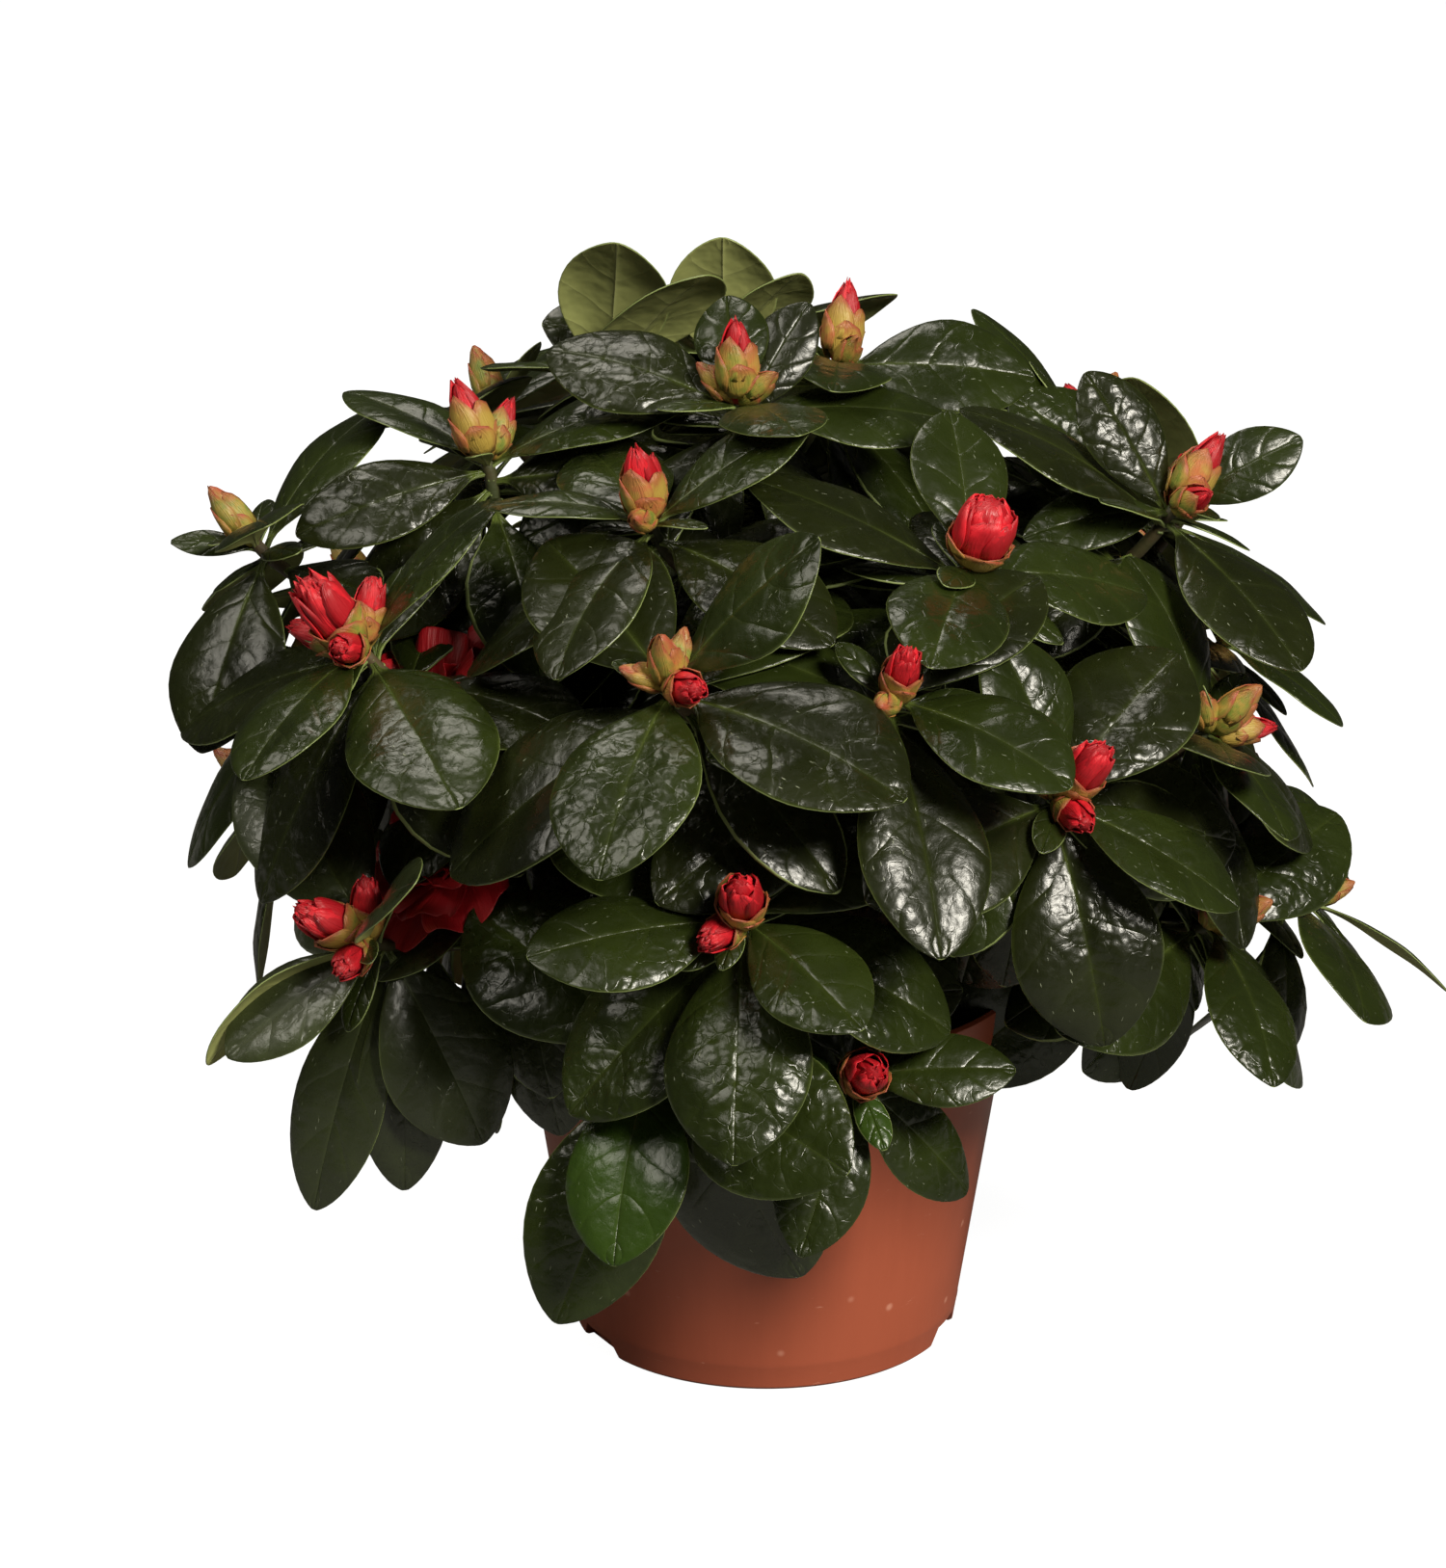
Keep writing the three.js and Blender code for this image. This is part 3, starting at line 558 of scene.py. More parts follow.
# The sides and back carry like shoots in rings: height, reach, first angle, step, the stages of
# their buds by turns, and the masses that share the ring, with the height at which each bough
# leaves and its number of shoots.
RING_ANGLE_DRAW = 7
RING_REACH_DRAW = 6
RING_HEIGHT_DRAW = 8
RING_LEAVES = 6
RING_LONGEST = 49
RING_LONGEST_DRAW = 3
RING_BUDS = 2
BACK = [
    (205, 90, 130, 34, ("ccc", "ctc"), [("back_upper_right", 118, 2), ("back_upper_left", 113, 2)]),
    (166, 114, 104, 35, ("rtc", "ccr"), [
        ("back_right", 98, 2), ("back_middle", 105, 2), ("side_left", 107, 2),
    ]),
    (119, 117, 126, 34, ("otr", "ctt"), [
        ("back_low_right", 95, 2), ("back_low_left", 91, 2), ("side_low_left", 96, 1),
    ]),
]

# Leaves that the front shows lying in their own way: mass, shoot and leaf, which way it points,
# which way its upper face looks, its length and its width as a share of that.
SET_LEAVES = [
    ("upper_left", 0, 2, (-0.88, -0.33, -0.10), (-0.15, -0.62, 0.77), 46, 0.50),
    ("upper_left", 0, 4, (0.88, -0.40, 0.26), (-0.10, -0.60, 0.80), 42, 0.55),
    ("upper_left", 0, 5, (-0.50, -0.45, -0.38), (-0.20, -0.75, 0.60), 44, 0.55),
    ("upper_left", 1, 1, (-0.90, -0.20, 0.25), (0, -0.60, 0.80), 20, 0.40),
    ("upper_left", 1, 3, (-0.35, -0.70, -0.62), (-0.30, -0.63, 0.64), 49, 0.62),
    ("upper_right", 0, 0, (0.80, -0.05, 0.58), (-0.35, -0.80, 0.50), 33, 0.52),
    ("upper_right", 0, 1, (-0.88, -0.42, 0.20), (-0.10, -0.55, 0.83), 36, 0.50),
    ("upper_right", 0, 2, (-0.42, 0.05, 0.90), (0.22, -0.86, 0.46), 38, 0.50),
    ("upper_right", 1, 0, (-0.74, 0, 0.66), (0.10, -0.75, 0.65), 50, 0.58),
    ("top", 0, 0, (-0.10, 0.45, 0.88), (0, -0.93, 0.35), 28, 0.62),
    ("top", 0, 2, (-0.87, 0.12, 0.48), (0.20, -0.60, 0.75), 47, 0.58),
    ("top", 0, 5, (0.45, 0.15, 0.88), (-0.20, -0.90, 0.40), 32, 0.50),
    ("top", 1, 0, (0.95, -0.05, 0.10), (0, -0.60, 0.80), 46, 0.60),
    ("top", 2, 2, (-0.86, -0.30, 0.40), (0.10, -0.62, 0.78), 45, 0.60),
    ("top", 2, 4, (0, -0.18, 0.98), (0, 1.00, 0), 40, 0.66),
    ("top", 3, 4, (0.12, -0.14, 0.97), (0.10, 1.00, 0), 48, 0.56),
    ("low_left", 0, 1, (-0.94, 0.10, -0.33), (-0.10, 0.50, 0.83), 47, 0.42),
    ("low_left", 0, 3, (-0.84, -0.35, -0.40), (-0.10, -0.52, 0.81), 42, 0.50),
    ("low_left", 0, 4, (0.50, -0.43, -0.76), (0.10, -0.74, 0.62), 50, 0.60),
    ("low_left", 0, 5, (-0.36, -0.30, -0.88), (-0.35, -0.79, 0.48), 63, 0.36),
    ("low_left", 0, 6, (0.10, -0.40, -0.91), (0.20, -0.79, 0.48), 57, 0.38),
    ("low_front", 1, 3, (-0.35, -0.42, -0.84), (0.10, -0.82, 0.54), 62, 0.50),
    ("low_right", 0, 5, (-0.28, -0.20, -0.93), (0.10, -0.90, 0.30), 42, 0.42),
    ("low_right", 1, 0, (0.93, -0.25, -0.27), (0.35, 0.45, 0.82), 38, 0.34),
    ("low_right", 1, 4, (-0.39, -0.10, -0.91), (0.85, -0.20, -0.35), 48, 0.40),
]


def seeded(seed):
    """Numbers between -1 and 1 from a whole-number rule, so that every run gives the same plant."""
    state = seed
    while True:
        state = state * 48271 % 2147483647
        yield 2 * state / 2147483647 - 1


def around(angle, reach, height):
    turn = math.radians(angle)
    return np.array([math.sin(turn) * reach, -math.cos(turn) * reach, float(height)])


class Shoot:
    """One shoot: a twig's tip, its rosette of leaves and its buds."""

    def __init__(self, number, angle, reach, height, turn, hand, count, longest, stages):
        self.number = number
        self.tip = around(angle, reach, height)
        outward = unit(self.tip - SHOOT_HEART * UP)
        self.axis = unit(SHOOT_OUTWARD * outward + SHOOT_UPWARD * UP)
        self.turn = turn
        self.hand = hand
        self.count = count
        self.longest = longest
        self.bloom = stages == "bloom"
        self.stages = "" if self.bloom else stages


def ring_row(height, reach, first, step, stages, place, number):
    draw = seeded(number * 101)
    angle = first + step * place + RING_ANGLE_DRAW * next(draw)
    reach = reach + RING_REACH_DRAW * next(draw)
    height = height + RING_HEIGHT_DRAW * next(draw)
    turn = 180 + 180 * next(draw)
    longest = RING_LONGEST + RING_LONGEST_DRAW * next(draw)
    buds = RING_BUDS + math.floor(next(draw) + 0.5)
    hand = 1 if place % 2 else -1
    shown = stages[number % len(stages)][:buds]
    return angle, reach, height, turn, hand, RING_LEAVES, longest, shown


class Mass:
    """One mass of foliage: the line of its bough and stem, and a twig to each of its shoots."""

    def __init__(self, name, leaves_at, shoots):
        self.name = name
        self.shoots = shoots
        start = on_curve(trunk_curve, min(1, (leaves_at - TRUNK_FOOT) / TRUNK_HEIGHT))
        way = sum(shoot.tip for shoot in shoots) / len(shoots) - start
        fork = start + way * FORK_SHARE
        third = np.linalg.norm(start - fork) / 3
        way = unit(way)
        self.line = [start, start + unit(way + BOUGH_LIFT * UP) * third, fork - way * third, fork]
        for shoot in shoots:
            shoot.mass = self
            shoot.set_leaves = {row[2]: row[3:] for row in SET_LEAVES
                                if row[0] == name and shoots[row[1]] is shoot}
            shoot.reach = np.linalg.norm(fork - shoot.tip)
            leave = mix(fork, shoot.tip, TWIG_LEAVE)
            if shoot is shoots[0]:
                leave = fork + way * shoot.reach * TWIG_LEAVE
            arrive = shoot.tip - shoot.axis * shoot.reach * TWIG_ARRIVE
            shoot.twig = [fork, leave, arrive, shoot.tip]


masses = []
number = 1
for name, leaves_at, rows in FRONT:
    masses.append(Mass(name, leaves_at, [Shoot(number + i, *row) for i, row in enumerate(rows)]))
    number += len(rows)
for height, reach, first, step, stages, ring_masses in BACK:
    place = 0
    for name, leaves_at, count in ring_masses:
        shoots = []
        for i in range(count):
            row = ring_row(height, reach, first, step, stages, place + i, number + i)
            shoots.append(Shoot(number + i, *row))
        masses.append(Mass(name, leaves_at, shoots))
        place += count
        number += count
shoots = [shoot for mass in masses for shoot in mass.shoots]

TWIG_COLOR = (0.075, 0.052, 0.022, 1)
TWIG_GREEN = (0.035, 0.045, 0.012, 1)
twig_finish = Finish("young_twig_bark", TWIG_COLOR, 0.6)
twig_finish.set("Base Color", twig_finish.place.grain(60, 3).step(0.4, 0.6)
                .blend(TWIG_COLOR, TWIG_GREEN))
twig_finish.relief(twig_finish.place.grain(1200, 3) * 0.15)


def limb(line, start, end, sides, relief=0.0):
    """A tapering limb along a line, as a grid to be joined."""
    radii = mix(start, end, np.linspace(0, 1, len(line)))
    return *tube(line, radii, sides, relief), 0


bough_grids = []
twig_grids = []
for mass in masses:
    line = line_on(mass.line, 0, BOUGH_SHARE, BOUGH_ROWS)
    bough_grids.append(limb(line, BOUGH_START, BOUGH_END, BOUGH_SIDES, BOUGH_RELIEF))
    stem = line_on(mass.line, BOUGH_SHARE, 1, STEM_ROWS)[:-1]
    for shoot in mass.shoots:
        line = line_on(shoot.twig, 0, 1, TWIG_ROWS)
        thick = TWIG_START
        if shoot is mass.shoots[0]:
            line = np.concatenate([stem, line])
            thick = BOUGH_END
        twig_grids.append(limb(line, thick, TWIG_END, TWIG_SIDES))
bough_names = ["bough_" + mass.name for mass in masses]
foliage_names = ["foliage_" + mass.name for mass in masses]
new_piece(joined("woody_boughs", bough_grids), [bark_finish], bough_names)
new_piece(joined("twigs", twig_grids), [twig_finish], foliage_names)

# Leaves: thick, evergreen and glossy, with a sunken midrib, side veins that pucker the blade, a
# thin pale edge and a dull olive underside. They grow in a spiral down from each shoot's tip.
LEAF_WIDTH = 0.58
WIDTH_DRAW = 0.14
WIDEST = 1.15
ROUNDNESS = 0.62
PETIOLE = 0.1
PETIOLE_HALF = 0.8
LEAF_SUNK = 0.03
FIRST_SHARE = 0.78
GROWTH = 0.075
FIRST_PITCH = 52
PITCH_STEP = 7.5
LAST_PITCH = 104
FIRST_DROP = 2
DROP_STEP = 1.2
LOWER_STEP = 7
LOWER_COUNT = 5
LOWEST_SHARE = 0.05
SPIRAL = 137.5
DROOP = 0.16
BEND = 30
FACE_AXIS = 0.6
FACE_UP = 0.4
SIZE_DRAW = 0.08
PITCH_DRAW = 6
ROLL_DRAW = 10
BEND_DRAW = 12
WIDE_ROW = 0.45
NARROW_ROW = 0.78
SEEN_UP = np.array([0.0, 0.33, 0.95])
# A ball about its middle holds a blade or a line, and has this share of its length as radius.
BLADE_BALL = 0.75
LINE_BALL = 0.6
# Each leaf is lifted and swung a little, by these tries, until it crosses none that is there.
TRIES = [(0, 0), (-11, 0), (11, 0), (-6, 16), (-6, -16), (14, 14), (14, -14), (-22, 0)]
# One leaf of the left side would reach out of the crown, and isn't grown: mass and leaf.
LEFT_OUT = ("side_low_left", 2)
# Fillers between these leaves sit down every twig and may stay smaller: lift, swing and size.
FILL_COUNT = 8
FILL_FIRST = 0.5
FILL_STEP = 0.8
FILL_LOWEST = POT_HEIGHT - 20
FILL_TRIES = [
    (0, 0, 0.9), (-12, 25, 0.9), (12, -25, 0.8), (0, 50, 0.7), (-20, -50, 0.7), (-30, 80, 0.55),
    (15, -80, 0.55), (-35, 0, 0.5), (0, 130, 0.45), (-20, 180, 0.45),
]


class Leaf:
    """A leaf, petal or other blade: where it is rooted, how it lies and how it curves."""

    set_ways = None

    def __init__(self, root, axis, clock, pitch, roll, droop, bend, length, half):
        self.root = root
        self.axis = axis
        self.clock = clock
        self.pitch = pitch
        self.roll = math.radians(roll)
        self.droop = droop
        self.bend = bend
        self.length = length
        self.half = half

    def lay(self, lift, swing):
        """Sets the blade's own directions: along, across and its upper face."""
        axis = self.axis
        high = unit(SEEN_UP - axis * SEEN_UP.dot(axis))
        right = np.cross(high, axis)
        clock = math.radians(self.clock + swing)
        pitch = math.radians(self.pitch + lift)
        outward = math.cos(clock) * high + math.sin(clock) * right
        self.along = unit(math.cos(pitch) * axis + math.sin(pitch) * outward - self.droop * UP)
        face = FACE_AXIS * axis + FACE_UP * UP
        if self.set_ways:
            self.along, face = [unit(np.array(way)) for way in self.set_ways]
        face = unit(face - self.along * face.dot(self.along))
        across = np.cross(self.along, face)
        self.across = math.cos(self.roll) * across + math.sin(self.roll) * face
        self.face = math.cos(self.roll) * face - math.sin(self.roll) * across
        return self

    def half_width(self, share):
        blade = np.clip((share - PETIOLE) / (1 - PETIOLE), 0, 1)
        return self.half * np.maximum(0, np.sin(math.pi * blade ** WIDEST)) ** ROUNDNESS

    def points(self, share, side, height):
        """Points at shares of the length, sideways and over the middle surface."""
        turned = self.bend * share
        radius = self.length / self.bend
        sine = np.sin(turned)[..., None]
        cosine = np.cos(turned)[..., None]
        return (self.root + radius * sine * self.along + radius * (cosine - 1) * self.face
                + side[..., None] * self.across
                + height[..., None] * (cosine * self.face + sine * self.along))


def leaf_plan(shoot, index, lower=None):
    """Leaf 0 is the innermost of the rosette; those past the rosette sit further down the twig."""
    draw = seeded(shoot.number * 7919 + index * 104729)
    if lower is None:
        lower = max(0, index - shoot.count + 1)
    rosette = min(index, shoot.count - 1)
    drop = FIRST_DROP + DROP_STEP * rosette + LOWER_STEP * lower
    share = max(LOWEST_SHARE, 1 - drop / shoot.reach)
    size = min(1, FIRST_SHARE + GROWTH * index) * (1 + SIZE_DRAW * next(draw))
    length = shoot.longest * size
    pitch = min(LAST_PITCH, FIRST_PITCH + PITCH_STEP * index) + PITCH_DRAW * next(draw)
    roll = ROLL_DRAW * next(draw)
    bend = math.radians(BEND + BEND_DRAW * next(draw))
    width = LEAF_WIDTH * (1 + WIDTH_DRAW * next(draw))
    clock = shoot.turn + shoot.hand * SPIRAL * index
    root = on_curve(shoot.twig, share)
    axis = curve_way(shoot.twig, share)
    if index not in shoot.set_leaves:
        return Leaf(root, axis, clock, pitch, roll, DROOP, bend, length, length * width / 2)
    along, face, length, width = shoot.set_leaves[index]
    leaf = Leaf(root, axis, clock, pitch, 0, 0, bend, length, length * width / 2)
    leaf.set_ways = (along, face)
    return leaf


class Outline:
    """A blade's middle surface as triangles and edges, or a line's edges, for finding crossings."""

    def __init__(self, triangles, edges, middle, reach):
        self.triangles = np.array(triangles).reshape(-1, 3, 3)
        self.edges = np.array(edges)
        self.middle = middle
        self.reach = reach


def leaf_outline(leaf):
    def spot(share, side):
        place = np.array(share)
        return leaf.points(place, side * leaf.half_width(place), np.array(0.0))

    foot = spot(2 * PETIOLE, 0)
    tip = spot(1.0, 0)
    a, b, c = [spot(WIDE_ROW, side) for side in (-1, 0, 1)]
    d, e, f = [spot(NARROW_ROW, side) for side in (-1, 0, 1)]
    triangles = [(foot, a, b), (foot, b, c), (a, d, e), (a, e, b), (b, e, f), (b, f, c),
                 (d, tip, e), (e, tip, f)]
    edges = [(foot, a), (a, d), (d, tip), (tip, f), (f, c), (c, foot), (b, e)]
    return Outline(triangles, edges, b, leaf.length * BLADE_BALL)


def line_outline(points, steps):
    line = line_on(points, 0, 1, steps + 1)
    reach = np.linalg.norm(points[0] - points[-1]) * LINE_BALL
    return Outline([], list(zip(line, line[1:])), on_curve(points, 0.5), reach)


def passes(edges, faces):
    """Which edges go through which faces: a row for each edge."""
    one = faces[None, :, 0]
    side_one = faces[None, :, 1] - one
    side_two = faces[None, :, 2] - one
    way = (edges[:, 1] - edges[:, 0])[:, None]
    crossed = np.cross(way, side_two)
    depth = (side_one * crossed).sum(-1)
    flat = abs(depth) < 1e-9
    depth = np.where(flat, 1, depth)
    offset = edges[:, 0][:, None] - one
    first = (offset * crossed).sum(-1) / depth
    turned = np.cross(offset, side_one)
    second = (way * turned).sum(-1) / depth
    distance = (side_two * turned).sum(-1) / depth
    inside = (first >= 0) & (second >= 0) & (first + second <= 1)
    return inside & (distance >= 0) & (distance <= 1) & ~flat


def crossings(outline, placed):
    """How many of the placed blades and lines this outline crosses."""
    near = [
        other for other in placed
        if np.linalg.norm(outline.middle - other.middle) < outline.reach + other.reach
    ]
    if not near:
        return 0
    faces = np.concatenate([other.triangles for other in near])
    face_owner = np.repeat(np.arange(len(near)), [len(other.triangles) for other in near])
    edges = np.concatenate([other.edges for other in near])
    edge_owner = np.repeat(np.arange(len(near)), [len(other.edges) for other in near])
    met = set(face_owner[passes(outline.edges, faces).any(0)].tolist()) if len(faces) else set()
    met |= set(edge_owner[passes(edges, outline.triangles).any(1)].tolist())
    return len(met)


# Buds stand at a shoot's tip, one in line and the rest leaning out round it; a whole bloom stands
# there instead on some. Leaves keep clear of them, so their lines and petals are set out first.
BUD_LENGTH = 19
BUD_RADIUS = 4.4
SIDE_SHARE = 0.76
SIDE_TILT = 50
BUD_STALK = 3
BUD_SUNK = 2
# How much of its line a bud takes up at each stage.
BUD_REACH = {"s": 0.5, "c": 0.76, "t": 0.86, "r": 0.98, "p": 1.0, "o": 0.8}
BLOOM_RADIUS = 23
BLOOM_PETALS = 5
BLOOM_STALK = 9
BLOOM_WIDTH = 0.95
BLOOM_PITCH = 62


def bud_line(shoot, index):
    """The bud's two ends."""
    side = unit(np.cross(SEEN_UP, shoot.axis))
    other = np.cross(side, shoot.axis)
    clock = math.radians(shoot.turn + 360 / max(1, len(shoot.stages) - 1) * index)
    lean = math.radians(SIDE_TILT) if index else 0
    share = SIDE_SHARE if index else 1
    way = (math.cos(lean) * shoot.axis + math.sin(lean) * math.cos(clock) * side
           + math.sin(lean) * math.sin(clock) * other)
    root = shoot.tip - BUD_SUNK * shoot.axis
    return [root, root + way * (BUD_LENGTH + BUD_STALK) * share]


def petal_ring(shoot, count, length, pitch, offset, width):
    heart = shoot.tip + BLOOM_STALK * shoot.axis
    petals = []
    for index in range(count):
        clock = shoot.turn + offset + index * 360 / count
        half = length * width / 2
        petals.append(Leaf(heart, shoot.axis, clock, pitch, 0, 0, math.radians(BEND), length, half))
    return [petal.lay(0, 0) for petal in petals]


placed = []
for shoot in shoots:
    placed.append(line_outline(shoot.twig, 6))
    if shoot.bloom:
        ring = petal_ring(shoot, BLOOM_PETALS, BLOOM_RADIUS, BLOOM_PITCH, 0, BLOOM_WIDTH)
        placed += [leaf_outline(petal) for petal in ring]
    placed += [line_outline(bud_line(shoot, index), 1) for index in range(len(shoot.stages))]


def settle(leaf, shoot, index, outline, kept):
    """Keeps a leaf as it lies, for later ones to stay clear of."""
    leaf.shoot = shoot
    leaf.index = index
    leaf.outline = outline
    placed.append(outline)
    kept.append(leaf)


def place_leaf(shoot, index):
    """The try that crosses fewest is kept in a rosette; a lower leaf that crosses is left out."""
    leaf = leaf_plan(shoot, index)
    best = None
    for tried in TRIES:
        outline = leaf_outline(leaf.lay(*tried))
        count = crossings(outline, placed)
        if best is None or count < best[0]:
            best = (count, tried, outline)
        if best[0] == 0:
            break
    if best[0] == 0 or index < shoot.count:
        kept = [] if (shoot.mass.name, index) == LEFT_OUT else leaves
        settle(leaf.lay(*best[1]), shoot, index, best[2], kept)


def fill_leaf(shoot, place):
    """A leaf further down the twig, at the first try that crosses nothing."""
    lower = FILL_FIRST + FILL_STEP * place
    for lift, swing, size in FILL_TRIES:
        leaf = leaf_plan(shoot, shoot.count + LOWER_COUNT + place, lower)
        leaf.length *= size
        leaf.half *= size
        outline = leaf_outline(leaf.lay(lift, swing))
        if np.min(outline.triangles[:, :, 2]) > FILL_LOWEST and not crossings(outline, placed):
            settle(leaf, shoot, shoot.count + place, outline, fillers)
            return


leaves = []
for shoot in shoots:
    for index in range(shoot.count):
        place_leaf(shoot, index)
for lower in range(LOWER_COUNT):
    for shoot in shoots:
        place_leaf(shoot, shoot.count + lower)
fillers = []
for place in range(FILL_COUNT):
    for shoot in shoots:
        fill_leaf(shoot, place)

# The blade's columns and rows, and how far its surface rises and falls across them.
COLUMNS = np.array([-1, -0.92, -0.5, -0.02, 0.02, 0.5, 0.92, 1])
ROWS = np.array([-LEAF_SUNK, 0.04, 0.1, 0.2, 0.32, 0.45, 0.58, 0.7, 0.82, 0.92, 0.975, 1])
RIB_FOOT = 0.4
RIB_TIP = 0.14
TIP_HALF = 0.5
CROWNED = 0.12
ROLLED = 0.12
CROWN_SPAN = 0.9
FOLD = -0.02
FOLD_DRAW = 0.13
WAVE = 0.045
WAVES = 1.7
TWIST_DRAW = 0.16
PUCKER = 0.38
PUCKERS = 3.1
LEAF_THICK = 1.1
THIN_SHARE = 0.38
UNDER_OFFSET = 4
EDGE_OFFSET = 8


def blade_grid(leaf, finish, columns, rows):
    """The upper surface of a leaf: its points, its uv and the number of its finish."""
    draw = seeded(round(leaf.root[0] * 977 + leaf.root[2] * 1409) % 99991 + 7)
    fold = FOLD_DRAW * next(draw) + FOLD
    twist = TWIST_DRAW * next(draw)
    phase = math.pi * next(draw)
    other_phase = math.pi * next(draw)
    half = np.maximum(leaf.half_width(rows), np.where(rows > 0.5, TIP_HALF, PETIOLE_HALF))[:, None]
    width = np.abs(columns)[None, :]
    sign = np.sign(columns)[None, :]
    share = rows[:, None] + 0 * width
    rib = mix(RIB_FOOT, RIB_TIP, share)
    side = np.where(width < 0.1, sign * rib, columns[None, :] * half)
    blade = np.sin(math.pi * np.clip((share - PETIOLE) / (1 - PETIOLE), 0, 1))
    phases = np.where(sign > 0, phase, other_phase)
    crown = CROWNED * np.sin(math.pi * width * CROWN_SPAN) - ROLLED * width ** 3 + fold * width
    wave = WAVE * width ** 2 * np.sin(math.tau * WAVES * share + phases)
    bulges = np.sin(math.tau * PUCKERS * share + phases) * np.sin(math.pi * width)
    pucker = PUCKER * (1 + next(draw)) * bulges
    height = half * (crown + wave) * blade ** 0.5 + blade * pucker + side * twist * share
    points = leaf.points(share, side, height)
    uv = np.stack([0.5 + columns[None, :] / 2 + 0 * share, share], axis=-1)
    return points, uv, finish


DARK_LEAF = (0.0115, 0.0150, 0.0028, 1)
MID_LEAF = (0.0165, 0.0245, 0.0036, 1)
FRESH_LEAF = (0.026, 0.052, 0.006, 1)
# Painted sheen: the downy leaves' paler grey-green stands in for a soft sheen of light on them; the
# down itself is the coat of their finish.
DOWNY_PAINTED_SHEEN_LEAF = (0.032, 0.042, 0.012, 1)
RIB_COLOR = (0.085, 0.115, 0.022, 1)
HAIR_COLOR = (0.34, 0.37, 0.26, 1)
UNDER_COLOR = (0.27, 0.29, 0.095, 1)
UNDER_VEIN = (0.36, 0.38, 0.15, 1)
EDGE_COLOR = (0.19, 0.24, 0.075, 1)
VEINS_PER_LENGTH = 4.44
VEIN_SWEEP = 0.2


def veins(finish):
    """Wires for the way across, the midrib and the side veins, from the width and length."""
    across = abs(finish.width * 2 - 1)
    wander = finish.place.grain(90, 2)
    count = (finish.length - across ** 1.2 * VEIN_SWEEP + (wander - 0.5) * 0.09) * VEINS_PER_LENGTH
    from_vein = 0.5 - abs(count.maths("FRACT", count) - 0.5)
    side_vein = (1 - from_vein * 2) ** 6
    midrib = (1 - across) ** 26
    return across, midrib, side_vein


def upper_finish(name, color, hairs, down=0.0):
    """The glossy upper face; down is how much of it is veiled by fine grey down."""
    finish = Finish(name, color, 0.3)
    finish.set("Specular IOR Level", 0.4)
    finish.set("Coat Weight", down)
    finish.set("Coat Roughness", 0.42)
    across, midrib, side_vein = veins(finish)
    wander = finish.place.node("TexNoise", {}, {"Vector": finish.place, "Scale": 180}, 1)
    bent = finish.place.shifted(wander.stretched((0.007, 0.007, 0.007)))
    net = 1 - bent.cells(190, "DISTANCE_TO_EDGE").step(0.0, 0.05)
    puckered = finish.place.grain(28, 1).step(0.4, 0.62)
    blisters = finish.place.grain(150, 2, 0.5)
    wrinkles = finish.place.grain(420, 4, 0.6)
    strokes = finish.sheet.stretched((32, 11, 1)).cells(1)
    hair = (1 - strokes.step(0.05, 0.12)) * finish.place.grain(260, 1).step(0.4, 0.55) * hairs
    darker = tuple(part * 0.6 for part in color[:3]) + (1,)
    shade = finish.place.grain(40, 2).step(0.3, 0.7).blend(darker, color)
    foot = 1 - finish.length.step(0.06, 0.5)
    pale = midrib * (0.16 + foot * 0.7) + side_vein * 0.03 + across.step(0.94, 1.0) * 0.3
    stalk = 1 - finish.length.step(0.08, 0.13)
    finish.set("Base Color", hair.blend((pale + stalk).blend(shade, RIB_COLOR), HAIR_COLOR))
    finish.set("Roughness", 0.2 + wrinkles * 0.18 + hair * 0.2)
    height = (blisters * (0.7 + puckered * 1.2) - side_vein * 0.16 - midrib * 0.3
              - net * (0.012 + puckered * 0.034) + wrinkles * 0.14 + hair * 0.04)
    finish.relief(height)
    return finish


def under_finish(name, color):
    finish = Finish(name, color, 0.6)
    midrib, side_vein = veins(finish)[1:]
    finish.set("Base Color", (midrib * 0.6 + side_vein * 0.15).blend(color, UNDER_VEIN))
    finish.set("Roughness", 0.5 + finish.place.grain(800, 2) * 0.2)
    finish.relief(midrib * 0.4 + side_vein * 0.08 - finish.place.grain(150, 2) * 0.7)
    return finish


dark_leaf = upper_finish("dark_leaf", DARK_LEAF, 0.6)
mid_leaf = upper_finish("mid_leaf", MID_LEAF, 0.5)
fresh_leaf = upper_finish("fresh_leaf", FRESH_LEAF, 0.35)
# Painted sheen: a paler grey-green downy finish for the low leaves, with a real coat of down.
downy_painted_sheen_leaf = upper_finish("downy_painted_sheen_leaf", DOWNY_PAINTED_SHEEN_LEAF, 0.6, 0.4)
under_leaf = under_finish("leaf_underside", UNDER_COLOR)
edge_finish = Finish("leaf_edge", EDGE_COLOR, 0.45)
edge_finish.set("Roughness", 0.4 + edge_finish.place.grain(900, 2) * 0.2)
leaf_finishes = [dark_leaf, mid_leaf, fresh_leaf, downy_painted_sheen_leaf] + [under_leaf] * 4 + [edge_finish] * 4

DARK, MID, FRESH, DOWNY_PAINTED_SHEEN = range(4)


def young(shoot):
    """The two shoots low at the front are this year's."""
    return shoot.mass.name == "low_front" and shoot is not shoot.mass.shoots[0]


def tone_of(leaf):
    """Outer leaves are darker and the innermost of a young shoot is fresh green. The low masses
    take the lighter mid tone as painted light, for light that the crown's shade keeps from them.
    The low ones at the left and those hanging at the front are veiled by down, and their paler
    grey-green is painted sheen."""
    if young(leaf.shoot) and leaf.index == 0:
        return FRESH
    name = leaf.shoot.mass.name
    # Painted sheen: these low leaves get the paler downy tone.
    if name == "low_left" or (name == "low_front" and leaf.index >= leaf.shoot.count):
        return DOWNY_PAINTED_SHEEN
    # Painted light: the low masses take the lighter mid tone, for light that the crown's shade
    # keeps from them.
    low = name.startswith("low_")
    return MID if low or leaf.index < 2 or (leaf.shoot.number + leaf.index) % 4 == 0 else DARK


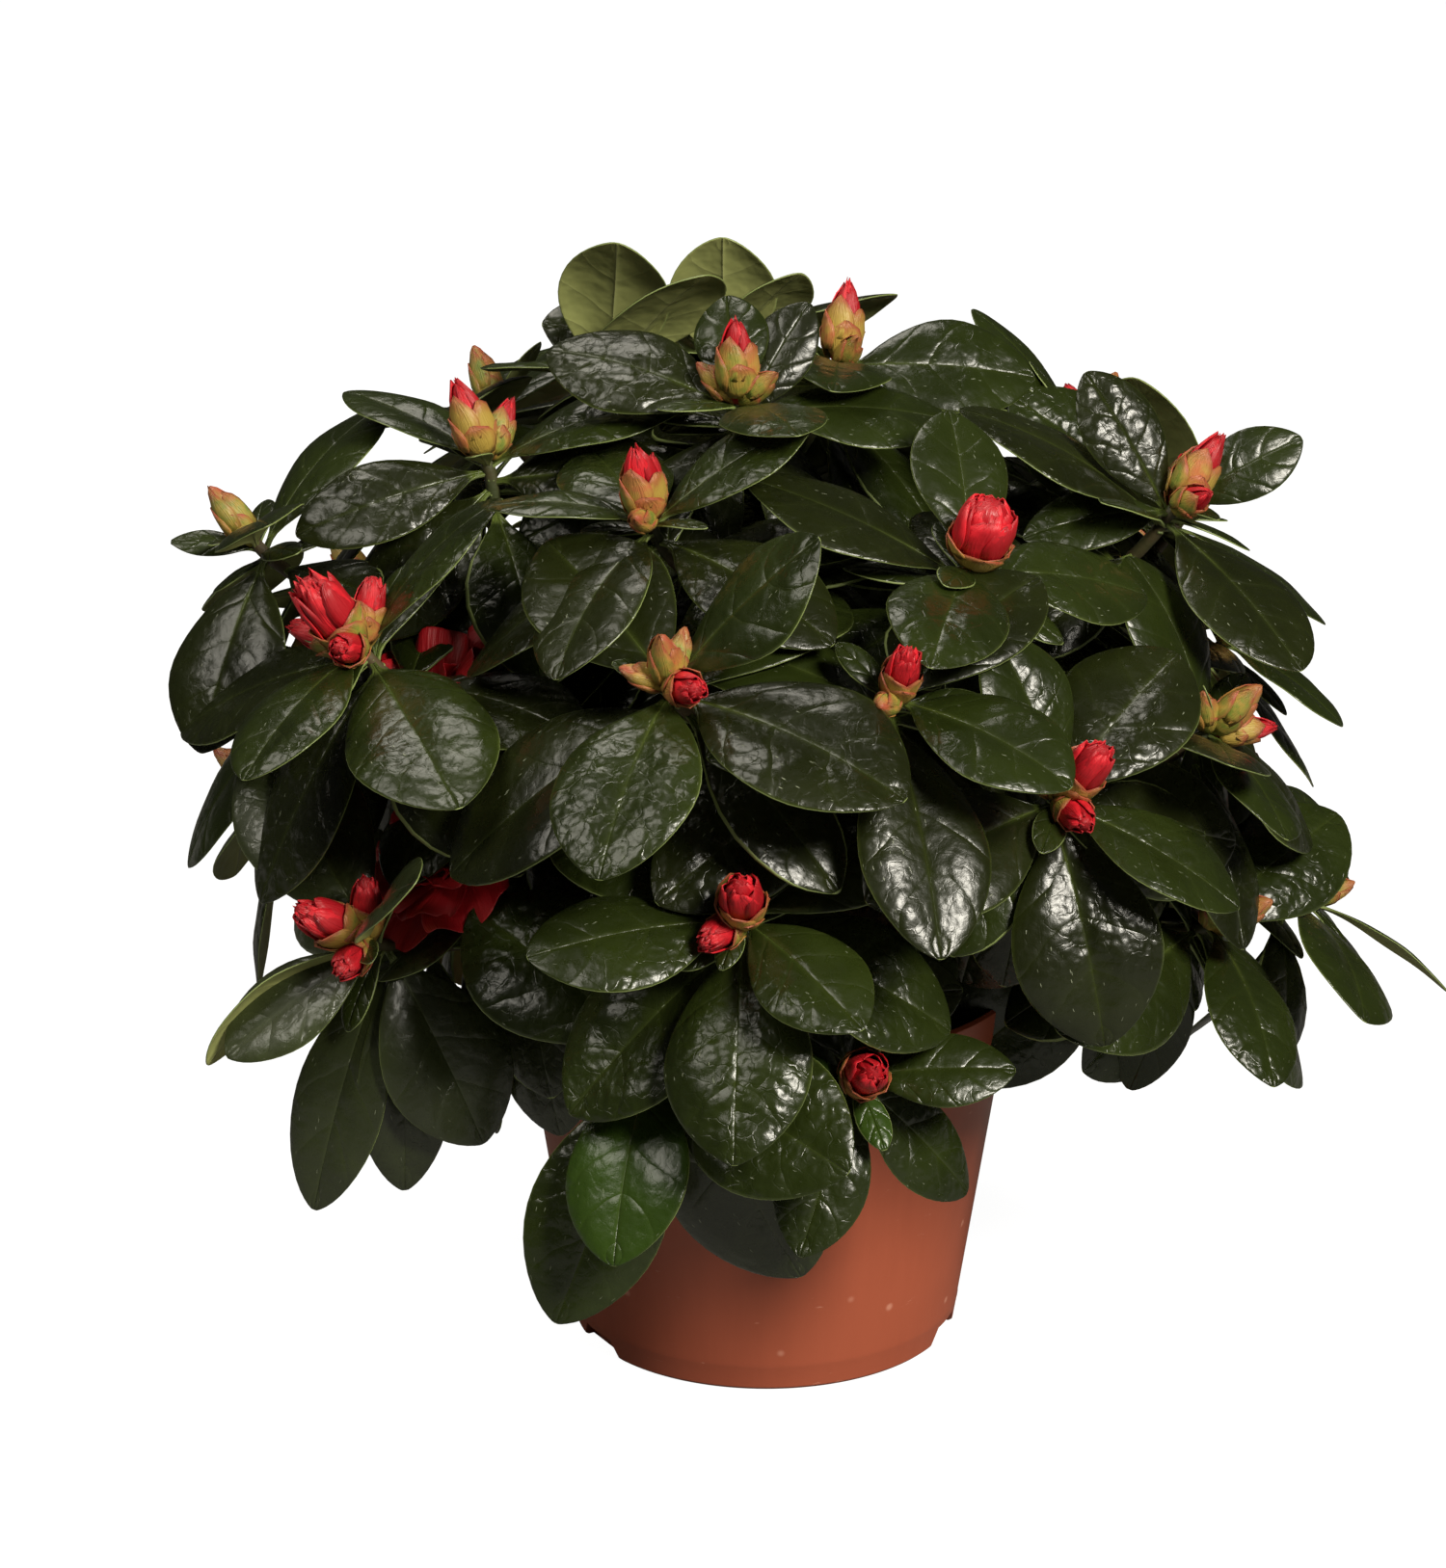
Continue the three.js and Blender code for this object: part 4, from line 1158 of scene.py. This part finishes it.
# Small narrow leaves stand up among the buds of each shoot.
SMALL_COUNT = 5
SMALL_LONGEST = 17
SMALL_GROWTH = 1.5
SMALL_WIDTH = 0.46
SMALL_PITCH = 50
SMALL_PITCH_STEP = 9
SMALL_DROP_STEP = 1.8
SMALL_TURN = 75
SMALL_BEND = 26
SMALL_SIZE_DRAW = 0.3
SMALL_CLOCK_DRAW = 25
SMALL_TILT_DRAW = 12
SMALL_COLUMNS = COLUMNS[[0, 2, 3, 4, 5, 7]]
SMALL_ROWS = ROWS[[0, 2, 4, 6, 8, 9, 11]]


def small_leaves(shoot):
    draw = seeded(shoot.number * 613)
    made = []
    for index in range(SMALL_COUNT):
        length = (SMALL_LONGEST + SMALL_GROWTH * index) * (1 + SMALL_SIZE_DRAW * next(draw))
        clock = shoot.turn + SMALL_TURN + SPIRAL * index + SMALL_CLOCK_DRAW * next(draw)
        pitch = SMALL_PITCH + SMALL_PITCH_STEP * index + SMALL_TILT_DRAW * next(draw)
        roll = SMALL_TILT_DRAW * next(draw)
        root = shoot.tip - shoot.axis * (1 + SMALL_DROP_STEP * index)
        leaf = Leaf(root, shoot.axis, clock, pitch, roll, 0, math.radians(SMALL_BEND), length,
                    length * SMALL_WIDTH / 2)
        outline = leaf_outline(leaf.lay(0, 0))
        if not crossings(outline, placed):
            settle(leaf, shoot, index, outline, made)
    return made


LEAF_GROUPS = [
    ("leaves_upper_front", ("upper_front", "front", "upper_left")),
    ("leaves_upper_right", ("upper_right", "front_right", "top")),
    ("leaves_lower_left", ("left", "low_left")),
    ("leaves_lower_front", ("low_front", "low_right")),
    ("leaves_upper_back", ("back_upper_right", "back_upper_left", "back_right", "back_middle")),
    ("leaves_lower_back", ("side_left", "back_low_right", "back_low_left", "side_low_left")),
]
PETIOLE_ROWS = 3
RIB_WEIGHT = 0.5
ONE_LEVEL = {"levels": 1, "render_levels": 1}

blades = [(leaf, tone_of(leaf), COLUMNS, ROWS) for leaf in leaves]
blades += [(leaf, tone_of(leaf), SMALL_COLUMNS, SMALL_ROWS) for leaf in fillers]
for shoot in shoots:
    tone = FRESH if young(shoot) else MID
    blades += [(leaf, tone, SMALL_COLUMNS, SMALL_ROWS) for leaf in small_leaves(shoot)]
for group_name, mass_names in LEAF_GROUPS:
    grids = [blade_grid(*blade) for blade in blades if blade[0].shoot.mass.name in mass_names]
    replaced = ["foliage_" + name for name in mass_names]
    piece = new_piece(joined(group_name, grids), leaf_finishes, replaced)
    thickness = piece.vertex_groups.new(name="thickness")
    start = 0
    for rows, columns in [grid[0].shape[:2] for grid in grids]:
        for row in range(rows):
            for column in range(columns):
                petiole = max(0, 1 - row / PETIOLE_ROWS)
                rib = RIB_WEIGHT if column in (columns // 2 - 1, columns // 2) else 0
                weight = max(petiole, rib * (1 - row / rows))
                thickness.add([start + row * columns + column], weight, "REPLACE")
        start += rows * columns
    modify(piece, "leaf_thickness", "SOLIDIFY", {
        "thickness": LEAF_THICK * MM, "offset": -1, "vertex_group": "thickness",
        "thickness_vertex_group": THIN_SHARE, "material_offset": UNDER_OFFSET,
        "material_offset_rim": EDGE_OFFSET,
    })
    modify(piece, "smooth_blade", "SUBSURF", ONE_LEVEL)

# Buds: fat spindles of overlapping scales, green at the foot and orange brown at the tips. Red
# petals push out of the riper ones, and those half open are a cup of folded petals.
BUD_SHARES = [0, 0.08, 0.25, 0.45, 0.65, 0.82, 0.93, 1]
CLOSED_SWELL = [0.42, 0.66, 0.98, 1.06, 0.95, 0.7, 0.44, 0.12]
RIPE_SWELL = [0.42, 0.62, 0.9, 1.02, 0.98, 0.82, 0.6, 0.28]
ROUND_SWELL = [0.42, 0.62, 0.92, 1.08, 1.12, 1.02, 0.8, 0.42]
SCALE_GREEN = (0.17, 0.21, 0.030, 1)
SCALE_YELLOW = (0.40, 0.27, 0.050, 1)
SCALE_ORANGE = (0.45, 0.15, 0.050, 1)
SCALE_TIP = (0.33, 0.075, 0.032, 1)
PETAL_RED = (0.70, 0.014, 0.026, 1)
PETAL_DEEP = (0.36, 0.004, 0.010, 1)
# Stage: swell, number of scales, how high the last one reaches, number of petals, where they
# start, how high they reach, how fat the bud is and how far its petals turn out.
STAGES = {
    "s": (CLOSED_SWELL, 7, 1.0, 0, 0, 0, 1.0, 0.0),
    "c": (CLOSED_SWELL, 8, 1.0, 0, 0, 0, 1.0, 0.0),
    "t": (CLOSED_SWELL, 8, 0.88, 4, 0.4, 1.02, 1.12, 0.04),
    "r": (RIPE_SWELL, 8, 0.68, 8, 0.25, 1.0, 1.12, 0.05),
    "p": (RIPE_SWELL, 7, 0.54, 11, 0.2, 1.0, 1.25, 0.2),
    "o": (ROUND_SWELL, 6, 0.44, 12, 0.2, 1.0, 1.75, 0.05),
}
GREEN_SCALE, YELLOW_SCALE, ORANGE_SCALE, RED_PETAL, DEEP_PETAL = range(5)
SCALE_TURNS = (GREEN_SCALE, YELLOW_SCALE, GREEN_SCALE, ORANGE_SCALE, YELLOW_SCALE)
BUD_CRUMPLE = 0.06
CRUMPLE_BY_FLARE = 0.35
SCALE_HALF_ANGLE = 60
SCALE_FOOT = 0.02
SCALE_FOOT_RISE = 0.34
SCALE_FAT = 1.13
SCALE_THINNER = 0.04
SCALE_FIRST_TOP = 0.42
SCALE_FLARE = 0.05
SCALE_HUG = -0.06
SCALE_THICK = 0.22
PETAL_HALF_ANGLE = 74
PETAL_NARROWER = 20
PETAL_CLOCK_DRAW = 30
OUTER_LOWER = 0.10
PETAL_FAT = 0.98
PETAL_THINNER = 0.4
TOP_DRAW = 0.04
# How blunt a scale or petal is, how wide its tip stays, and its rows and columns.
SCALE_SHAPE = (3.4, 0.12, (6, 5))
PETAL_SHAPE = (8, 0.7, (7, 7))
CORE_SIDES = 8
CORE_IN_PETALS = 0.72
CORE_IN_SCALES = 0.92
# The shares of its length that a bud is tried at, until it is clear of other shoots' leaves.
BUD_SHRINKS = [1, 0.8, 0.62]
# That is tested along the bud's middle, to past its tip, and along four lines on its sides.
TEST_REACH = 1.25
TEST_ENDS = (0.4, 0.95)
TEST_FAT = 0.75


def scale_finish(name, color):
    finish = Finish(name, color, 0.45)
    mottle = finish.place.grain(420, 3)
    burnt = (finish.length + mottle * 0.5).step(0.75, 1.2)
    edge = abs(finish.width * 2 - 1).step(0.55, 1.0)
    body = mottle.step(0.3, 0.7).blend(color, SCALE_YELLOW)
    finish.set("Base Color", (burnt * 0.8 + edge * 0.45).blend(body, SCALE_TIP))
    finish.set("Roughness", 0.36 + mottle * 0.2)
    finish.relief(finish.sheet.stretched((14, 1, 1)).grain(2, 2) * 0.3)
    return finish


def petal_finish(name, color):
    finish = Finish(name, color, 0.42)
    mottle = finish.place.grain(260, 3)
    finish.set("Base Color", mottle.step(0.2, 0.75).blend(PETAL_DEEP, color))
    finish.set("Roughness", 0.36 + mottle * 0.2)
    ribs = finish.sheet.stretched((16, 0.8, 1)).grain(2, 2)
    finish.relief(ribs * 0.3 + finish.place.grain(900, 2) * 0.05)
    return finish


bud_finishes = [
    scale_finish("green_bud_scale", SCALE_GREEN), scale_finish("yellow_bud_scale", SCALE_YELLOW),
    scale_finish("orange_bud_scale", SCALE_ORANGE), petal_finish("red_petal", PETAL_RED),
    petal_finish("deep_red_petal", PETAL_DEEP),
]


def wrapped(bud, clock, half_angle, ends, fat, flare, crumple, blunt, tip, grid):
    """A scale or petal: a sheet wrapped round a bud's own outline, that may turn out at its top."""
    line, radius, swells = bud
    rows, columns = grid
    along = unit(line[1] - line[0])
    side = unit(np.cross(np.array([0.0, 1.0, 0.0]), along))
    other = np.cross(along, side)
    share = np.linspace(0, 1, rows)[:, None]
    across = np.linspace(-1, 1, columns)[None, :]
    narrow = tip + (1 - tip) * (1 - share ** blunt) ** 0.6
    narrow = narrow * (0.75 + 0.25 * np.sin(math.pi * share))
    turn = math.radians(clock) + across * math.radians(half_angle) * narrow
    place = mix(*ends, share)
    swell = np.interp(place, BUD_SHARES, swells)
    fold = crumple * share ** 2 * np.sin(across * 4.5 + clock)
    reach = radius * (swell * fat + flare * share ** 3 + 0.07 * across + fold)
    reach = np.maximum(reach, 0.3) + 0 * turn
    rise = place + 0.6 * fold * (1 - across ** 2)
    centre = line[0] + (line[1] - line[0]) * rise[..., None]
    ring = np.cos(turn)[..., None] * side + np.sin(turn)[..., None] * other
    return centre + reach[..., None] * ring, sheet_uv(rows, columns)


def free_share(shoot, line, radius):
    """How much of a bud has room among the leaves of other shoots."""
    others = [leaf.outline for leaf in leaves + fillers if leaf.shoot is not shoot]
    side = unit(np.cross(UP, line[1] - line[0])) * radius
    other = unit(np.cross(side, line[1] - line[0])) * radius
    for share in BUD_SHRINKS:
        low, high = [mix(*line, share * end) for end in TEST_ENDS]
        edges = [(line[0], mix(*line, share * TEST_REACH))]
        edges += [(low + way * share, high + way * share) for way in (side, -side, other, -other)]
        if not crossings(Outline([], edges, mix(*line, 0.5), BUD_LENGTH / 2), others):
            return share
    return 0


bud_grids = []
for shoot in shoots:
    for index, stage in enumerate(shoot.stages):
        swells, scales, scale_top, petals, petal_foot, petal_top, fat, flare = STAGES[stage]
        crumple = BUD_CRUMPLE + flare * CRUMPLE_BY_FLARE
        line = bud_line(shoot, index)
        line[1] = mix(*line, BUD_REACH[stage])
        radius = BUD_RADIUS * (SIDE_SHARE if index else 1) * BUD_REACH[stage]
        free = free_share(shoot, line, radius * fat * TEST_FAT)
        if free == 0:
            continue
        line[1] = mix(*line, free)
        radius = radius * free
        bud = (line, radius, swells)
        draw = seeded(shoot.number * 3571 + index * 97)
        core = np.array([mix(*line, share) for share in BUD_SHARES])
        core_fat = fat * (CORE_IN_PETALS if petals else CORE_IN_SCALES)
        core_radii = np.array(swells) * radius * core_fat
        core_number = DEEP_PETAL if petals else GREEN_SCALE
        bud_grids.append((*tube(core, core_radii, CORE_SIDES), core_number))
        for petal in range(petals):
            inward = petal / petals
            lower = OUTER_LOWER * (1 - inward) if petals > 4 else 0
            top = petal_top - lower + TOP_DRAW * next(draw)
            clock = petal * SPIRAL + PETAL_CLOCK_DRAW * next(draw)
            half_angle = PETAL_HALF_ANGLE - PETAL_NARROWER * inward
            sheet = wrapped(bud, clock, half_angle, (petal_foot, top),
                            fat * (PETAL_FAT - PETAL_THINNER * inward), flare * (1 - inward),
                            crumple, *PETAL_SHAPE)
            bud_grids.append((*sheet, RED_PETAL if petal % 4 else DEEP_PETAL))
        for scale in range(scales):
            height = scale / (scales - 1)
            foot = SCALE_FOOT + SCALE_FOOT_RISE * height
            top = mix(SCALE_FIRST_TOP, scale_top, height) + TOP_DRAW * next(draw)
            flared = SCALE_FLARE * (1 + next(draw)) if petals else SCALE_HUG
            sheet = wrapped(bud, scale * SPIRAL, SCALE_HALF_ANGLE, (foot, top),
                            fat * (SCALE_FAT - SCALE_THINNER * height), flared, 0.0,
                            *SCALE_SHAPE)
            turn = (scale + shoot.number + index) % len(SCALE_TURNS)
            bud_grids.append((*sheet, SCALE_TURNS[turn]))
buds = new_piece(joined("flower_buds", bud_grids), bud_finishes, foliage_names)
modify(buds, "scale_thickness", "SOLIDIFY", {"thickness": SCALE_THICK * MM, "offset": -1})

# Blooms: a few double flowers stand open among the leaves, two rings of broad wavy petals round a
# heart of small crumpled ones. The flowers are coral red; here the two outer rings are painted a
# dark red as painted shade, for the shade they sit in among the leaves, and the heart has the
# buds' brighter red.
PETAL_COLUMNS = np.linspace(-1, 1, 9)
PETAL_ROWS = np.linspace(0, 1, 10)
# Painted shade: the outer petals' red is darkened for the shade the blooms sit in among the leaves.
PAINTED_SHADE_BLOOM_RED = (0.42, 0.008, 0.014, 1)
RUFFLE = 2.2
PETAL_FOOT = 0.22
PETAL_SWELL = 0.62
PETAL_CUP = 0.18
PETAL_CORNERS = 0.16
PETAL_THICK = 0.3
STALK_SHARES = [0, 0.2, 0.45, 0.6]
STALK_RADII = [1.4, 1.8, 2.8, 1.0]
STALK_SIDES = 10
# Each ring of a bloom: number of petals, length, pitch, where it starts, width, how much the
# petals are ruffled, and the number of its finish.
BLOOM_RINGS = [
    (BLOOM_PETALS, BLOOM_RADIUS, BLOOM_PITCH, 0, BLOOM_WIDTH, RUFFLE, 0),
    (BLOOM_PETALS, BLOOM_RADIUS * 0.84, 44, 36, 0.95, RUFFLE, 0),
    (4, BLOOM_RADIUS * 0.55, 30, 15, 0.8, 1.6, 1),
    (3, BLOOM_RADIUS * 0.42, 16, 70, 0.7, 1.3, 1),
]


def petal_grid(leaf, phase, ruffle):
    """A broad petal: narrow at the heart, with a waved and notched edge."""
    share = PETAL_ROWS[:, None] + 0 * PETAL_COLUMNS[None, :]
    across = PETAL_COLUMNS[None, :] + 0 * share
    half = leaf.half * mix(PETAL_FOOT, 1, np.sin(math.pi * share * PETAL_SWELL) ** 1.1)
    edge = share ** 2
    height = ruffle * edge * (np.sin(across * 4.2 + phase) + 0.5 * np.sin(across * 8.5 + phase * 2))
    height = height + PETAL_CUP * leaf.half * across ** 2 * (1 - share)
    reach = share + edge * (0.02 * np.sin(across * 9 + phase) - PETAL_CORNERS * across ** 2)
    return leaf.points(reach, across * half, height)


bloom_finishes = [
    petal_finish("bloom_petal", PAINTED_SHADE_BLOOM_RED), petal_finish("deep_bloom_petal", PETAL_RED),
    bud_finishes[GREEN_SCALE],
]
petal_uv = sheet_uv(len(PETAL_ROWS), len(PETAL_COLUMNS))
bloom_grids = []
for shoot in shoots:
    if shoot.bloom:
        draw = seeded(shoot.number * 811)
        for *ring, ruffle, number in BLOOM_RINGS:
            for petal in petal_ring(shoot, *ring):
                bloom_grids.append((petal_grid(petal, 3 * next(draw), ruffle), petal_uv, number))
        line = bud_line(shoot, 0)
        stalk = np.array([mix(*line, share) for share in STALK_SHARES])
        bloom_grids.append((*tube(stalk, np.array(STALK_RADII), STALK_SIDES), 2))
blooms = new_piece(joined("open_blooms", bloom_grids), bloom_finishes,
                   ["foliage_left", "foliage_low_left", "foliage_low_right"])
modify(blooms, "petal_thickness", "SOLIDIFY", {"thickness": PETAL_THICK * MM, "offset": 0})
modify(blooms, "smooth_petals", "SUBSURF", ONE_LEVEL)
